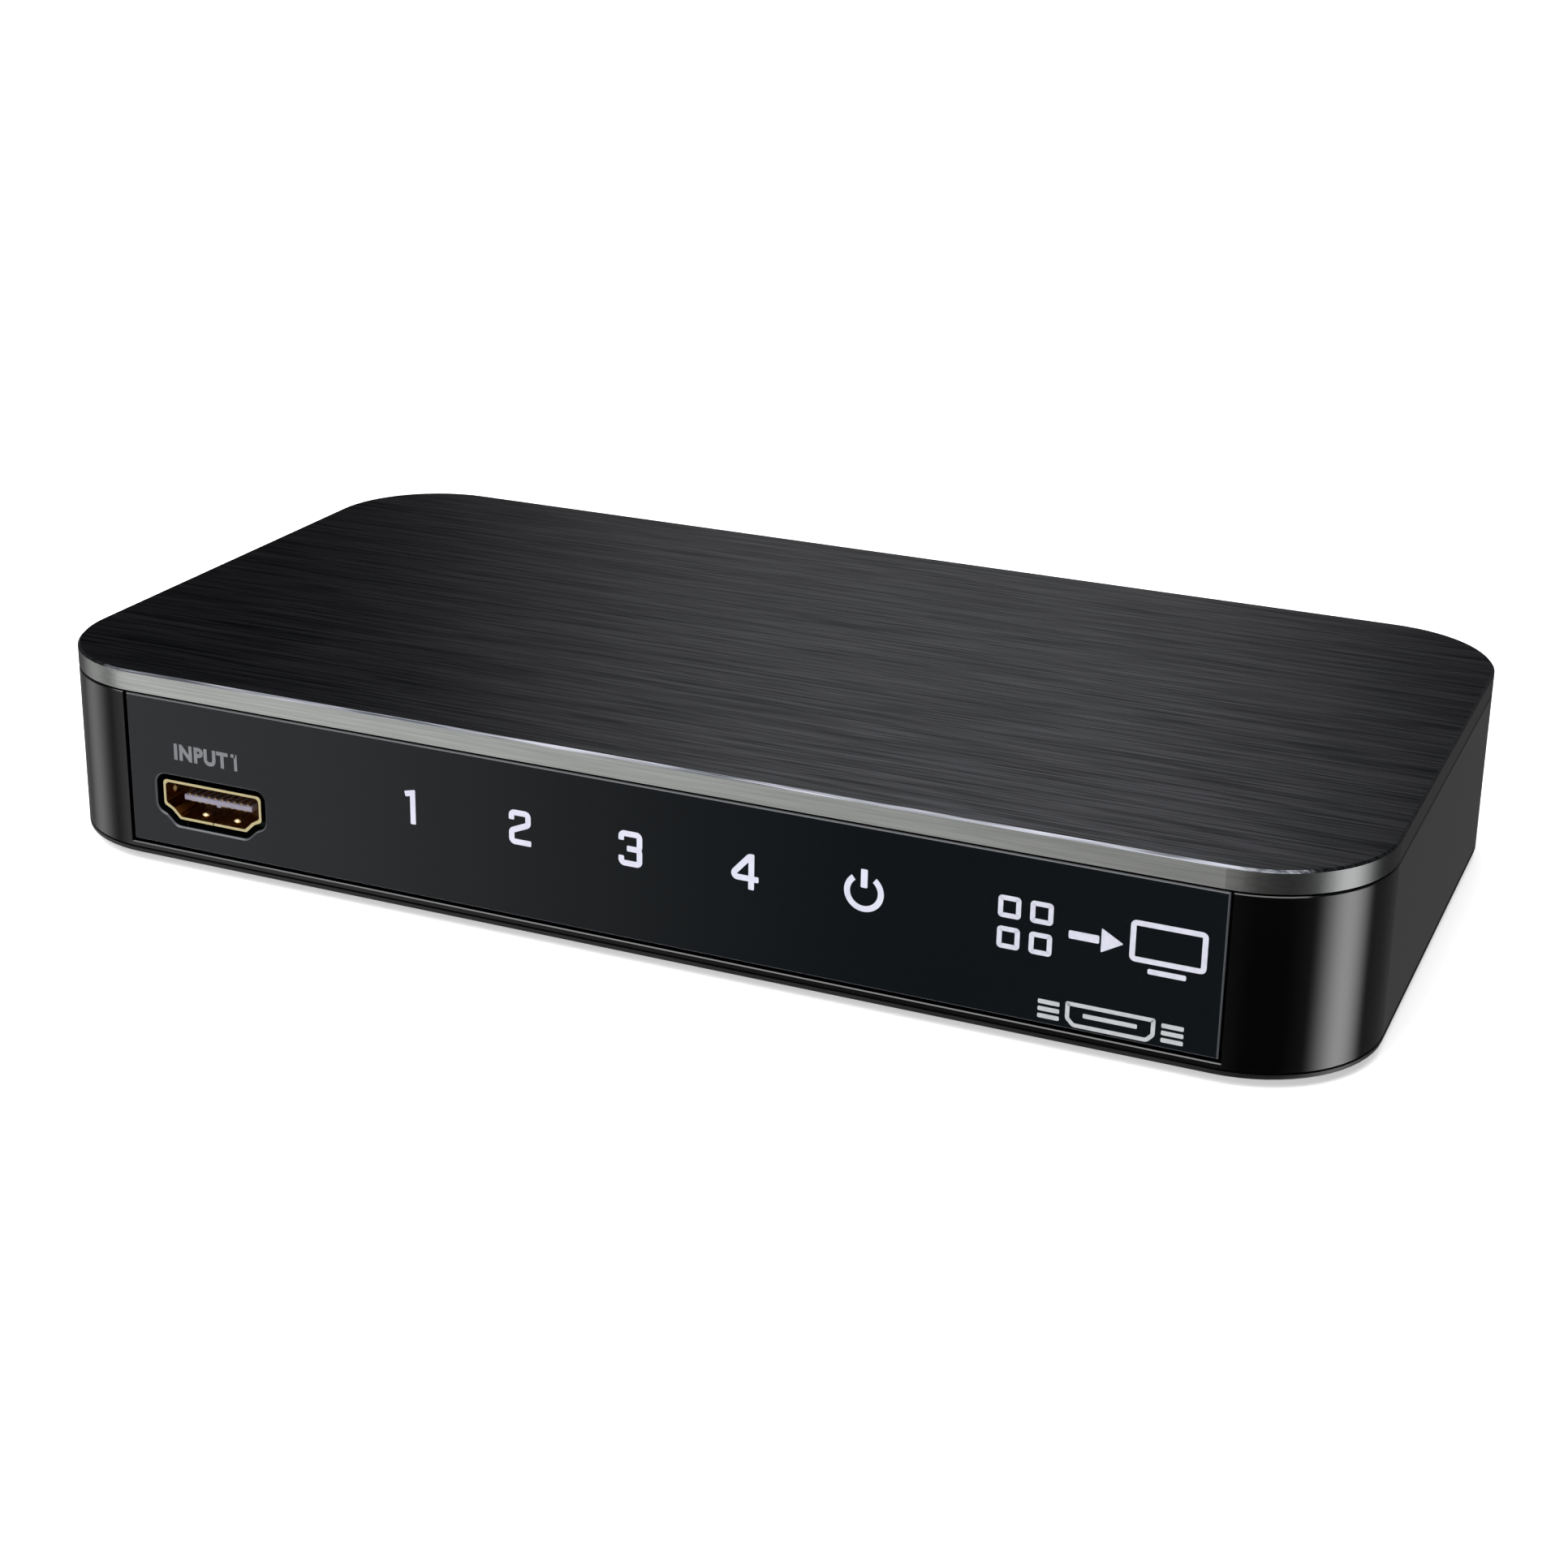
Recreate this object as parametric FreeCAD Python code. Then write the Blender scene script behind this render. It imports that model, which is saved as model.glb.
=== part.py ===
import FreeCAD, Part
import math
import os
from FreeCAD import Vector

# A low four-to-one video switch box.  X is the width, the front faces -Y, Z is up.
# The origin is the middle of the footprint, on the surface that the rubber feet rest on.

# ---- case ----
WIDTH = 177.0
DEPTH = 93.0
CORNER_RADIUS = 16.0
FOOT_HEIGHT = 1.2          # how far the feet lift the base
BODY_HEIGHT = 25.5         # base cover to the top plate's upper face
WALL = 2.2

# ---- aluminium top plate ----
PLATE_EDGE = 2.8           # height of the edge band
PLATE_SKIN = 2.0           # thickness inside the rim
PLATE_RIM = 3.0            # width of the rim that stands down round the pocket
PLATE_CHAMFER = 0.3
TAPE = 0.2                 # double-sided adhesive under the plate and behind the panel
REVEAL = 0.3               # shadow gap under the plate
REVEAL_DEPTH = 0.9
CASE_CHAMFER = 0.12
DECK_THICKNESS = 1.7       # the case's flat top under the plate
PLATEAU_GAP = 0.3          # between the plate's rim and the case's raised middle
POST_RADIUS = 3.0
POST_PILOT = 1.25          # screw hole in each post
POST_PILOT_DEPTH = 9.0
OVERSHOOT = 1.0            # how far a cutting block runs past a face

# ---- base cover ----
BASE_EDGE = 0.6            # the visible edge of the base cover
BASE_THICKNESS = 1.8
BASE_SEAM = 0.15
BASE_ROUND = 0.25
BASE_FIT = 0.2             # clearance of the base's step inside the walls
STANDOFF_RADIUS = 2.8
STANDOFF_PILOT = 1.3
STANDOFF_FLOOR = 0.8       # left under the pilot hole
SCREW_HOLE = 1.6
COUNTERSINK = 3.0
COUNTERSINK_DEPTH = 1.4

# ---- front and rear panels ----
PANEL_WIDTH = 146.4
PANEL_BOTTOM = 1.9         # above the underside of the base cover
PANEL_TOP = 22.35
PANEL_THICKNESS = 2.0
PANEL_GAP = 0.4
PANEL_CHAMFER = 0.2
PANEL_INSET = 0.1          # the panels' faces lie this far inside the case's
BACKING_WALL = 1.8         # case wall behind each panel
BACKING_MARGIN = 3.0       # how far that wall runs past each end of the panel
CUT_THROUGH = 6.0          # depth of a socket's opening, through panel, tape and wall
TAPE_MARGIN = 1.0          # tape kept in from the panel's ends and lower edge
TAPE_TOP_MARGIN = 0.8
TAPE_HOLE_MARGIN = 0.3     # holes in the tape are this much larger than those in the wall

# ---- touch icons, in the front panel ----
ICON_PITCH = 15.15
FIRST_ICON_X = -30.45
ICON_DEPTH = 1.0
ICON_Z = 13.87             # middle of the digits above the underside of the base cover
DIGIT_HEIGHT = 4.6
STROKE = 0.75
POWER_RADIUS = 2.5
POWER_BAR_WIDTH = 0.85
POWER_BAR_LENGTH = 2.35
POWER_GAP_ANGLE = 38.0     # half of the gap at the top of the ring
ICON_WINDOW = 4.2          # radius of the hole in the backing wall behind each icon
DIGIT_CORNER = 0.8         # outer radius of a digit's bends
DIGIT_ONE_CORNER = 0.14

# ---- video sockets (19-way, 15 mm across the metal housing) ----
SOCKET_WIDTH = 15.0
SOCKET_HEIGHT = 5.3
SOCKET_BOTTOM_WIDTH = 10.2
SOCKET_LENGTH = 11.6
SOCKET_LIFT = 5.7          # the housings' underside above the base cover's
SOCKET_SHEET = 0.35
SOCKET_INSET = 0.4         # mouth behind the panel's face
SOCKET_MARGIN = 0.85       # panel opening round the housing
SOCKET_SEAM = 0.16
TONGUE_WIDTH = 10.4
TONGUE_THICKNESS = 0.8
TONGUE_INSET = 1.3
TONGUE_NOSE = 0.12         # chamfer along the tongue's front edges
KEY_HALF_WIDTH = 0.3       # rib under the tongue
KEY_HEIGHT = 0.25
CONTACT_WIDTH = 0.32
CONTACT_THICKNESS = 0.12
CONTACT_PITCH = 1.0
CONTACT_INSET = 0.2        # contacts start this far behind the tongue's nose
TAIL_HALF_WIDTH = 0.1
TAIL_HEIGHT = 1.2
INSULATOR_DEPTH = 8.4      # from the mouth to the block that closes the back
SPRING_X = 2.45            # domed springs above and below
SPRING_RADIUS = 0.75
SPRING_DEPTH = 2.2         # behind the mouth
SIDE_SPRING_RADIUS = 0.7
SIDE_SPRING_Z = 0.7
SEAM_LENGTH = 6.0
LEG_PLACES = (4.6, 10.0)   # solder legs, behind the mouth
LEG_WIDTH = 1.0
INPUT_1_X = -60.9
REAR_SOCKETS = {"output": 33.0, "input_2": -3.0, "input_3": -27.0, "input_4": -51.0}

# ---- power jack (5.5 mm barrel, 2.1 mm pin) ----
JACK_X = 60.0
JACK_WIDTH = 9.0
JACK_HEIGHT = 11.0
JACK_LENGTH = 13.0
JACK_AXIS_HEIGHT = 6.5     # above the board
JACK_INSET = 1.2           # the box's end in front of the wall's inner face
JACK_MOUTH_INSET = 0.1
JACK_FIT = 0.2             # clearance round the nose in the panel
JACK_ROOM = 0.5            # room round the box in the wall behind the panel
JACK_PIN_INSET = 0.6       # the pin's tip behind the mouth
JACK_BORE = 3.15
JACK_NOSE = 3.85
JACK_PIN = 1.05
JACK_PIN_LENGTH = 9.0      # the straight part that a plug slides over
JACK_PIN_TIP = 0.5         # rounded end
JACK_PIN_ROOT = 1.4        # radius of the shoulder held in the housing
JACK_PIN_ROOT_LENGTH = 3.0
JACK_SLOT_HALF_WIDTH = 1.2
JACK_SPRING_WIDTH = 1.8
JACK_SPRING_SHEET = 0.3

# ---- circuit board ----
BOARD_HALF_WIDTH = 76.5
BOARD_HALF_DEPTH = 42.0
BOARD_CORNER = 5.0
BOARD_THICKNESS = 1.6
BOARD_SCREW_X = 71.0
BOARD_SCREW_Y = 26.0
CASE_SCREW_X = 81.5
CASE_SCREW_Y = 20.0
CASE_SCREW_SHANK = 1.2
CASE_SCREW_HEAD = 2.7
CASE_SCREW_NECK = 1.35
CASE_SCREW_HEAD_HEIGHT = 1.2
CASE_SCREW_LENGTH = 9.5
CASE_SCREW_SUNK = 0.2      # head below the base's underside
BOARD_SCREW_SHANK = 1.25
BOARD_SCREW_HEAD = 2.5
BOARD_SCREW_HEAD_HEIGHT = 1.6
BOARD_SCREW_ROUND = 0.6
BOARD_SCREW_LENGTH = 3.9   # below the board's upper face
BOARD_HOLE = 1.6
DRIVER_REACH = 1.3         # the cross recess in a screw head
DRIVER_HALF_WIDTH = 0.28
DRIVER_DEPTH = 0.8

# ---- underside ----
FOOT_RADIUS = 5.0
FOOT_X = 66.0
FOOT_Y = 33.0
FOOT_POCKET = 0.5
FOOT_FIT = 0.15            # clearance of a foot in its pocket
FOOT_ROUND = 0.35
VENT_COUNT = 11            # slots in each of two rows
VENT_PITCH = 4.2
VENT_HALF_LENGTH = 6.0
VENT_HALF_WIDTH = 0.8
VENT_ROW_Y = 16.0
LABEL_X = 54.0
LABEL_HALF_WIDTH = 22.0
LABEL_HALF_DEPTH = 9.0
LABEL_RECESS = 0.15
LABEL_THICKNESS = 0.1
LABEL_FIT = 0.15
LABEL_CORNER = 1.0

# ---- touch board ----
TOUCH_BOARD_SETBACK = 3.0  # behind the wall that backs the front panel
TOUCH_BOARD_THICKNESS = 1.0
TOUCH_BOARD_HALF_WIDTH = 38.5
TOUCH_BOARD_HEIGHT = 12.6
TOUCH_BOARD_LIFT = 6.6     # lower edge above the underside of the base cover
TOUCH_RAIL_HALF_WIDTH = 1.5
TOUCH_RAIL_DEPTH = 2.4     # how far the rails run behind the board's front
TOUCH_RAIL_LIFT = 4.0      # rails start this far above the board's lower edge
TOUCH_GROOVE_BITE = 0.1
TOUCH_FIT = 0.05
RING_RADIUS = 3.4          # conductive foam ring between each icon and the touch board
RING_WALL = 0.8
GUIDE_RADIUS = 2.4
RECEIVER_X = 53.0          # infrared receiver, behind the panel's right-hand end
RECEIVER_LENS = 2.4
RECEIVER_WINDOW = 2.9      # radius of the hole in the wall before the lens
RECEIVER_AXIS_HEIGHT = 4.0 # above the main board
RECEIVER_HALF_WIDTH = 3.0
RECEIVER_DEPTH = 4.0
RECEIVER_HEIGHT = 7.0
RECEIVER_LENS_REACH = 1.2
LED_HALF_WIDTH = 0.8
LED_HEIGHT = 0.6
GUIDE_GAP = 0.1            # between a light guide and its lamp
RIBBON_LEFT = 16.0
RIBBON_WIDTH = 8.0
RIBBON_SHEET = 0.3
RIBBON_BEND = 2.55         # outer radius
RIBBON_REACH = 10.5        # from the touch board back to the socket on the main board
RIBBON_PLUG_HEIGHT = 4.4   # above the touch board's lower edge
RIBBON_SOCKET_MARGIN = 1.0
RIBBON_SOCKET_HEIGHT = 2.2
TOUCH_SOCKET_HALF_HEIGHT = 0.9
MAIN_SOCKET_HALF_DEPTH = 1.4

# ---- parts on the main board: sizes along X, Y and Z ----
SWITCH_CHIP_X = -8.0
SWITCH_CHIP_Y = 2.0
SWITCH_CHIP = (14.0, 14.0, 1.4)
CONTROLLER_CHIP = (7.0, 7.0, 1.2)
REGULATOR_CHIP = (5.0, 4.0, 1.5)
LEAD_LENGTH = 0.9
LEAD_HEIGHT = 0.35
LEAD_SHARE = 0.44          # width of a lead as a share of the pitch
CHIP_LIFT = 0.1
PAD_HALF_WIDTH = 6.5
PAD_THICKNESS = 0.5
SINK_HALF_WIDTH = 13.0
SINK_HEIGHT = 8.0
SINK_BASE = 1.6
SINK_FINS = 9
FIN_SHARE = 0.4            # thickness of a fin as a share of the pitch
CAN_RADIUS = 3.15
CAN_HEIGHT = 7.7
CAN_BASE = 0.9
CAN_BASE_MARGIN = 0.2
CAN_ROUND = 0.5
SURGE_ARRAY = (3.0, 3.0, 1.0)
SURGE_OFFSET = 3.2         # each side of a socket's middle
CERAMIC = (1.6, 0.8, 0.8)
CERAMIC_PITCH = 2.6
CERAMIC_ROW_Y = 16.0       # in front of and behind the switching chip
RESISTOR = (1.6, 0.8, 0.45)
RESISTOR_PITCH = 2.2
RESISTOR_ROW_Y = 23.5
REAR_SURGE_Y = 27.5
FRONT_SURGE_Y = -28.0
INDUCTOR = (7.0, 7.0, 4.0)
INDUCTOR_CORNER = 1.2
CRYSTAL = (11.2, 4.6, 3.5)
CRYSTAL_CORNER = 2.2
CONTROLLER_PLACE = (32.0, -20.0)
REGULATOR_PLACE = (58.0, 14.0)
INDUCTOR_PLACE = (48.0, 14.0)
CRYSTAL_PLACE = (32.0, -9.0)
CAN_PLACES = ((68.0, 14.0), (48.0, 24.0), (58.0, 4.0))

# ---- levels and planes worked out from the values above ----
BASE_Z = FOOT_HEIGHT
FLOOR_Z = BASE_Z + BASE_THICKNESS
TOP_Z = BASE_Z + BODY_HEIGHT
PLATE_Z = TOP_Z - PLATE_EDGE
CASE_Z = BASE_Z + BASE_EDGE + BASE_SEAM
CASE_TOP_Z = PLATE_Z - REVEAL
POCKET_Z = TOP_Z - PLATE_SKIN
DECK_TOP_Z = POCKET_Z - TAPE
DECK_Z = CASE_TOP_Z - DECK_THICKNESS
PANEL_Z = BASE_Z + PANEL_BOTTOM
PANEL_TOP_Z = BASE_Z + PANEL_TOP
RECESS_Z = PANEL_Z - PANEL_GAP
FACE_Y = -DEPTH / 2 + PANEL_INSET
PANEL_BACK_Y = FACE_Y + PANEL_THICKNESS
WALL_Y = PANEL_BACK_Y + TAPE
INSIDE_Y = WALL_Y + BACKING_WALL
SOCKET_Z = BASE_Z + SOCKET_LIFT + SOCKET_HEIGHT / 2
BOARD_Z = SOCKET_Z - SOCKET_HEIGHT / 2
JACK_Z = BOARD_Z + JACK_AXIS_HEIGHT
ICON_ROW_Z = BASE_Z + ICON_Z
ICON_X = [FIRST_ICON_X + i * ICON_PITCH for i in range(5)]
TOUCH_BOARD_Y = INSIDE_Y + TOUCH_BOARD_SETBACK
TOUCH_BOARD_Z = BASE_Z + TOUCH_BOARD_LIFT
RECEIVER_Z = BOARD_Z + RECEIVER_AXIS_HEIGHT
LABEL_Z = BASE_Z + LABEL_RECESS
CORNERS = [(sx, sy) for sx in (-1, 1) for sy in (-1, 1)]


# ---------------------------------------------------------------- geometry helpers
def box(x0, x1, y0, y1, z0, z1):
    return Part.makeBox(x1 - x0, y1 - y0, z1 - z0, Vector(x0, y0, z0))


def rod(radius, start, end):
    axis = end - start
    return Part.makeCylinder(radius, axis.Length, start, axis)


def facing(y):
    """Draw in an upright plane that faces the front."""
    return lambda u, v: Vector(u, y, v)


def lying(z):
    """Draw in a level plane."""
    return lambda u, v: Vector(u, v, z)


def sideways(x):
    """Draw in an upright plane that faces the side."""
    return lambda u, v: Vector(x, u, v)


def outline(points, place):
    """A closed wire through (u, v, radius) corners, each rounded by its own radius."""
    edges = []
    stops = []
    for i, (u, v, radius) in enumerate(points):
        corner = place(u, v)
        before = (place(*points[i - 1][:2]) - corner).normalize()
        after = (place(*points[(i + 1) % len(points)][:2]) - corner).normalize()
        if radius <= 0:
            stops.append((corner, None, corner))
            continue
        half = before.getAngle(after) / 2
        inward = (before + after).normalize()
        reach = radius / math.tan(half)
        middle = corner + inward * (radius / math.sin(half) - radius)
        stops.append((corner + before * reach, middle, corner + after * reach))
    for i, (start, middle, end) in enumerate(stops):
        last = stops[i - 1][2]
        if last.distanceToPoint(start) > 1e-5:
            edges.append(Part.LineSegment(last, start).toShape())
        if middle is not None:
            edges.append(Part.Arc(start, middle, end).toShape())
    return Part.Wire(edges)


def slab(wire, sweep):
    return Part.Face(wire).extrude(sweep)


def rounded_box(half_x, half_y, radius, z0, z1):
    corners = [(-half_x, -half_y), (half_x, -half_y), (half_x, half_y), (-half_x, half_y)]
    wire = outline([(u, v, radius) for u, v in corners], lying(z0))
    return slab(wire, Vector(0, 0, z1 - z0))


def case_slab(inset, z0, z1):
    """The plan of the case, drawn in by an inset, between two levels."""
    return rounded_box(WIDTH / 2 - inset, DEPTH / 2 - inset, CORNER_RADIUS - inset, z0, z1)


def stroke(points, radius, width, place, sweep, end_round=0.14):
    """A pen stroke of even width along a line. The radius is that of each bend's outer side."""
    half = width / 2
    left = []
    right = []
    for i, (u, v) in enumerate(points):
        here = Vector(u, v, 0)
        into = None
        out = None
        if i > 0:
            into = (here - Vector(*points[i - 1], 0)).normalize()
        if i < len(points) - 1:
            out = (Vector(*points[i + 1], 0) - here).normalize()
        first = into or out
        second = out or into
        side_1 = Vector(-first.y, first.x, 0)
        side_2 = Vector(-second.y, second.x, 0)
        step = (side_1 + side_2) * (half / (1 + side_1.dot(side_2)))
        turn = first.cross(second).z
        if into is None or out is None:
            radii = (end_round, end_round)
        elif turn > 0:
            radii = (max(radius - width, 0), radius)
        else:
            radii = (radius, max(radius - width, 0))
        left.append((u + step.x, v + step.y, radii[0]))
        right.append((u - step.x, v - step.y, radii[1]))
    return slab(outline(left + right[::-1], place), sweep)


def fuse(shapes):
    first = shapes[0].multiFuse(shapes[1:])
    return first.removeSplitter()


def save(name, shape):
    shape.exportStep("parts/" + name + ".step")


# ---------------------------------------------------------------- socket outline
def socket_outline(inset, y):
    """The housing's outline, drawn in by an inset: square above, stepped in below."""
    side = SOCKET_WIDTH / 2 - inset
    top = SOCKET_HEIGHT / 2 - inset
    foot = SOCKET_BOTTOM_WIDTH / 2 - inset * 0.6
    right = [(foot, -top, 0.5), (side - 1.15, -1.45 + inset * 0.7, 0.5), (side, -0.9 + inset, 0.5),
             (side, top, 0.6)]
    left = [(-u, v, r) for u, v, r in reversed(right)]
    return outline(right + left, facing(y))


def panel_opening(depth):
    """The clearance opening for a socket, from the mouth plane inward."""
    wire = socket_outline(0, 0).makeOffset2D(SOCKET_MARGIN)
    return Part.Face(wire).extrude(Vector(0, depth, 0))


# ---------------------------------------------------------------- case parts
def top_plate():
    plate = case_slab(0, PLATE_Z, TOP_Z)
    rim = [e for e in plate.Edges if e.BoundBox.ZMin > TOP_Z - 0.01]
    plate = plate.makeChamfer(PLATE_CHAMFER, rim)
    return plate.cut(case_slab(PLATE_RIM, PLATE_Z, POCKET_Z))


def panel_recess(side, width, z0, z1, y_inner):
    """A block from the case's face inward, on the front (-1) or the rear (+1)."""
    y0, y1 = sorted((side * (DEPTH / 2 + OVERSHOOT), side * abs(y_inner)))
    return box(-width / 2, width / 2, y0, y1, z0, z1)


def upper_case():
    shell = case_slab(0, CASE_Z, CASE_TOP_Z)
    rims = [e for e in shell.Edges if e.BoundBox.ZLength < 0.01]
    shell = shell.makeChamfer(CASE_CHAMFER, rims)
    shell = shell.fuse(case_slab(REVEAL_DEPTH, CASE_TOP_Z, PLATE_Z))
    plateau = case_slab(PLATE_RIM + PLATEAU_GAP, PLATE_Z, DECK_TOP_Z)
    cavity = case_slab(WALL, CASE_Z, DECK_Z)
    for side in (-1, 1):
        backing = panel_recess(side, PANEL_WIDTH + 2 * BACKING_MARGIN, CASE_Z, DECK_Z, INSIDE_Y)
        cavity = cavity.cut(backing)
    shell = fuse([shell, plateau]).cut(cavity)
    step_top = BASE_Z + BASE_THICKNESS + BASE_SEAM
    shell = shell.cut(case_slab(WALL, CASE_Z, step_top))
    for side in (-1, 1):
        width = PANEL_WIDTH + 2 * PANEL_GAP
        shell = shell.cut(panel_recess(side, width, RECESS_Z, PLATE_Z, WALL_Y))
    faces = (-DEPTH / 2, DEPTH / 2)
    lips = [e for e in shell.Edges if e.BoundBox.YLength < 0.01 and RECESS_Z - 0.01 < e.BoundBox.ZMin
            and e.BoundBox.ZMax < CASE_TOP_Z + 0.01 and min(abs(e.BoundBox.YMin - y) for y in faces) < 0.01
            and abs(e.BoundBox.XMin) < PANEL_WIDTH / 2 + PANEL_GAP + 0.01]
    shell = shell.makeChamfer(CASE_CHAMFER, lips)
    posts = []
    for sx, sy in CORNERS:
        foot = Vector(sx * CASE_SCREW_X, sy * CASE_SCREW_Y, FLOOR_Z)
        post = rod(POST_RADIUS, foot, Vector(foot.x, foot.y, DECK_Z))
        posts.append(post.cut(rod(POST_PILOT, foot, foot + Vector(0, 0, POST_PILOT_DEPTH))))
    for end in (-1, 1):
        x = ICON_X[2] + end * TOUCH_BOARD_HALF_WIDTH
        rail = box(x - TOUCH_RAIL_HALF_WIDTH, x + TOUCH_RAIL_HALF_WIDTH, INSIDE_Y,
                   TOUCH_BOARD_Y + TOUCH_RAIL_DEPTH, TOUCH_BOARD_Z + TOUCH_RAIL_LIFT, DECK_Z)
        groove_x = sorted((x - end * TOUCH_RAIL_HALF_WIDTH, x + end * TOUCH_GROOVE_BITE))
        groove = box(*groove_x, TOUCH_BOARD_Y - TOUCH_FIT,
                     TOUCH_BOARD_Y + TOUCH_BOARD_THICKNESS + TOUCH_FIT, TOUCH_BOARD_Z, DECK_Z)
        posts.append(rail.cut(groove))
    shell = fuse([shell] + posts)
    cuts = [at_front(panel_opening(CUT_THROUGH), INPUT_1_X)]
    cuts += [at_rear(panel_opening(CUT_THROUGH), x) for x in REAR_SOCKETS.values()]
    cuts += [rod(ICON_WINDOW, Vector(x, FACE_Y, ICON_ROW_Z), Vector(x, INSIDE_Y, ICON_ROW_Z))
             for x in ICON_X]
    cuts.append(rod(RECEIVER_WINDOW, Vector(RECEIVER_X, FACE_Y, RECEIVER_Z),
                    Vector(RECEIVER_X, INSIDE_Y, RECEIVER_Z)))
    half = JACK_WIDTH / 2 + JACK_ROOM
    cuts.append(box(JACK_X - half, JACK_X + half, -INSIDE_Y - OVERSHOOT, DEPTH / 2, BOARD_Z - JACK_FIT,
                    BOARD_Z + JACK_HEIGHT + JACK_ROOM - JACK_FIT))
    return shell.cut(Part.makeCompound(cuts))


def base_cover():
    cover = case_slab(0, BASE_Z, BASE_Z + BASE_EDGE)
    cover = cover.makeFillet(BASE_ROUND, [e for e in cover.Edges if e.BoundBox.ZMax < BASE_Z + 0.01])
    step = case_slab(WALL + BASE_FIT, BASE_Z + BASE_EDGE, FLOOR_Z)
    for side in (-1, 1):
        width = PANEL_WIDTH + 2 * (BACKING_MARGIN + BASE_FIT)
        step = step.cut(panel_recess(side, width, BASE_Z, FLOOR_Z, abs(INSIDE_Y) - BASE_FIT))
    standoffs = []
    for sx, sy in CORNERS:
        bottom = Vector(sx * BOARD_SCREW_X, sy * BOARD_SCREW_Y, BASE_Z + BASE_EDGE)
        standoffs.append(rod(STANDOFF_RADIUS, bottom, Vector(bottom.x, bottom.y, BOARD_Z - BOARD_THICKNESS)))
    cover = fuse([cover, step] + standoffs)
    cuts = []
    for sx, sy in CORNERS:
        pilot = Vector(sx * BOARD_SCREW_X, sy * BOARD_SCREW_Y, BASE_Z + STANDOFF_FLOOR)
        cuts.append(rod(STANDOFF_PILOT, pilot, Vector(pilot.x, pilot.y, BOARD_Z)))
        hole = Vector(sx * CASE_SCREW_X, sy * CASE_SCREW_Y, BASE_Z)
        cuts.append(rod(SCREW_HOLE, hole, hole + Vector(0, 0, BASE_THICKNESS)))
        cuts.append(Part.makeCone(COUNTERSINK, SCREW_HOLE, COUNTERSINK_DEPTH, hole, Vector(0, 0, 1)))
        foot = Vector(sx * FOOT_X, sy * FOOT_Y, BASE_Z)
        cuts.append(rod(FOOT_RADIUS + FOOT_FIT, foot, foot + Vector(0, 0, FOOT_POCKET)))
    for row in (-1, 1):
        for i in range(VENT_COUNT):
            x = (i - (VENT_COUNT - 1) / 2) * VENT_PITCH
            slot = rounded_box(VENT_HALF_WIDTH, VENT_HALF_LENGTH, VENT_HALF_WIDTH - 0.01, BASE_Z, FLOOR_Z)
            cuts.append(slot.translate(Vector(x, row * VENT_ROW_Y, 0)))
    recess = rounded_box(LABEL_HALF_WIDTH, LABEL_HALF_DEPTH, LABEL_CORNER, BASE_Z, LABEL_Z)
    cuts.append(recess.translate(Vector(LABEL_X, 0, 0)))
    return cover.cut(Part.makeCompound(cuts))


def rating_label():
    label = rounded_box(LABEL_HALF_WIDTH - LABEL_FIT, LABEL_HALF_DEPTH - LABEL_FIT,
                        LABEL_CORNER - LABEL_FIT, LABEL_Z - LABEL_THICKNESS, LABEL_Z)
    return label.translate(Vector(LABEL_X, 0, 0))


def flat_panel(side):
    y0, y1 = sorted((side * abs(FACE_Y), side * abs(PANEL_BACK_Y)))
    panel = box(-PANEL_WIDTH / 2, PANEL_WIDTH / 2, y0, y1, PANEL_Z, PANEL_TOP_Z)
    rim = [e for e in panel.Edges if abs(e.BoundBox.YMin - side * abs(FACE_Y)) < 0.01
           and abs(e.BoundBox.YMax - side * abs(FACE_Y)) < 0.01]
    return panel.makeChamfer(PANEL_CHAMFER, rim)


def front_panel(icons):
    panel = flat_panel(-1)
    opening = at_front(panel_opening(PANEL_THICKNESS + OVERSHOOT), INPUT_1_X)
    panel = panel.cut(opening)
    rim = [e for e in panel.Edges if abs(e.BoundBox.YMax - FACE_Y) < 0.01
           and abs(e.BoundBox.Center.x - INPUT_1_X) < SOCKET_WIDTH / 2 + SOCKET_MARGIN + 0.5
           and e.BoundBox.XLength < SOCKET_WIDTH + 2]
    panel = panel.makeChamfer(PANEL_CHAMFER, rim)
    return panel.cut(Part.makeCompound(list(icons.values())))


def front_adhesive():
    half = PANEL_WIDTH / 2 - TAPE_MARGIN
    sheet = box(-half, half, PANEL_BACK_Y, WALL_Y, PANEL_Z + TAPE_MARGIN, PANEL_TOP_Z - TAPE_TOP_MARGIN)
    cuts = [at_front(panel_opening(CUT_THROUGH), INPUT_1_X)]
    cuts += [rod(ICON_WINDOW + TAPE_HOLE_MARGIN, Vector(x, PANEL_BACK_Y, ICON_ROW_Z),
                 Vector(x, WALL_Y, ICON_ROW_Z)) for x in ICON_X]
    cuts.append(rod(RECEIVER_WINDOW + TAPE_HOLE_MARGIN, Vector(RECEIVER_X, PANEL_BACK_Y, RECEIVER_Z),
                    Vector(RECEIVER_X, WALL_Y, RECEIVER_Z)))
    return sheet.cut(Part.makeCompound(cuts))


def rear_panel():
    cuts = [at_rear(panel_opening(CUT_THROUGH), x) for x in REAR_SOCKETS.values()]
    cuts.append(rod(JACK_NOSE + JACK_FIT, Vector(JACK_X, -WALL_Y, JACK_Z),
                    Vector(JACK_X, DEPTH / 2, JACK_Z)))
    return flat_panel(1).cut(Part.makeCompound(cuts))


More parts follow.
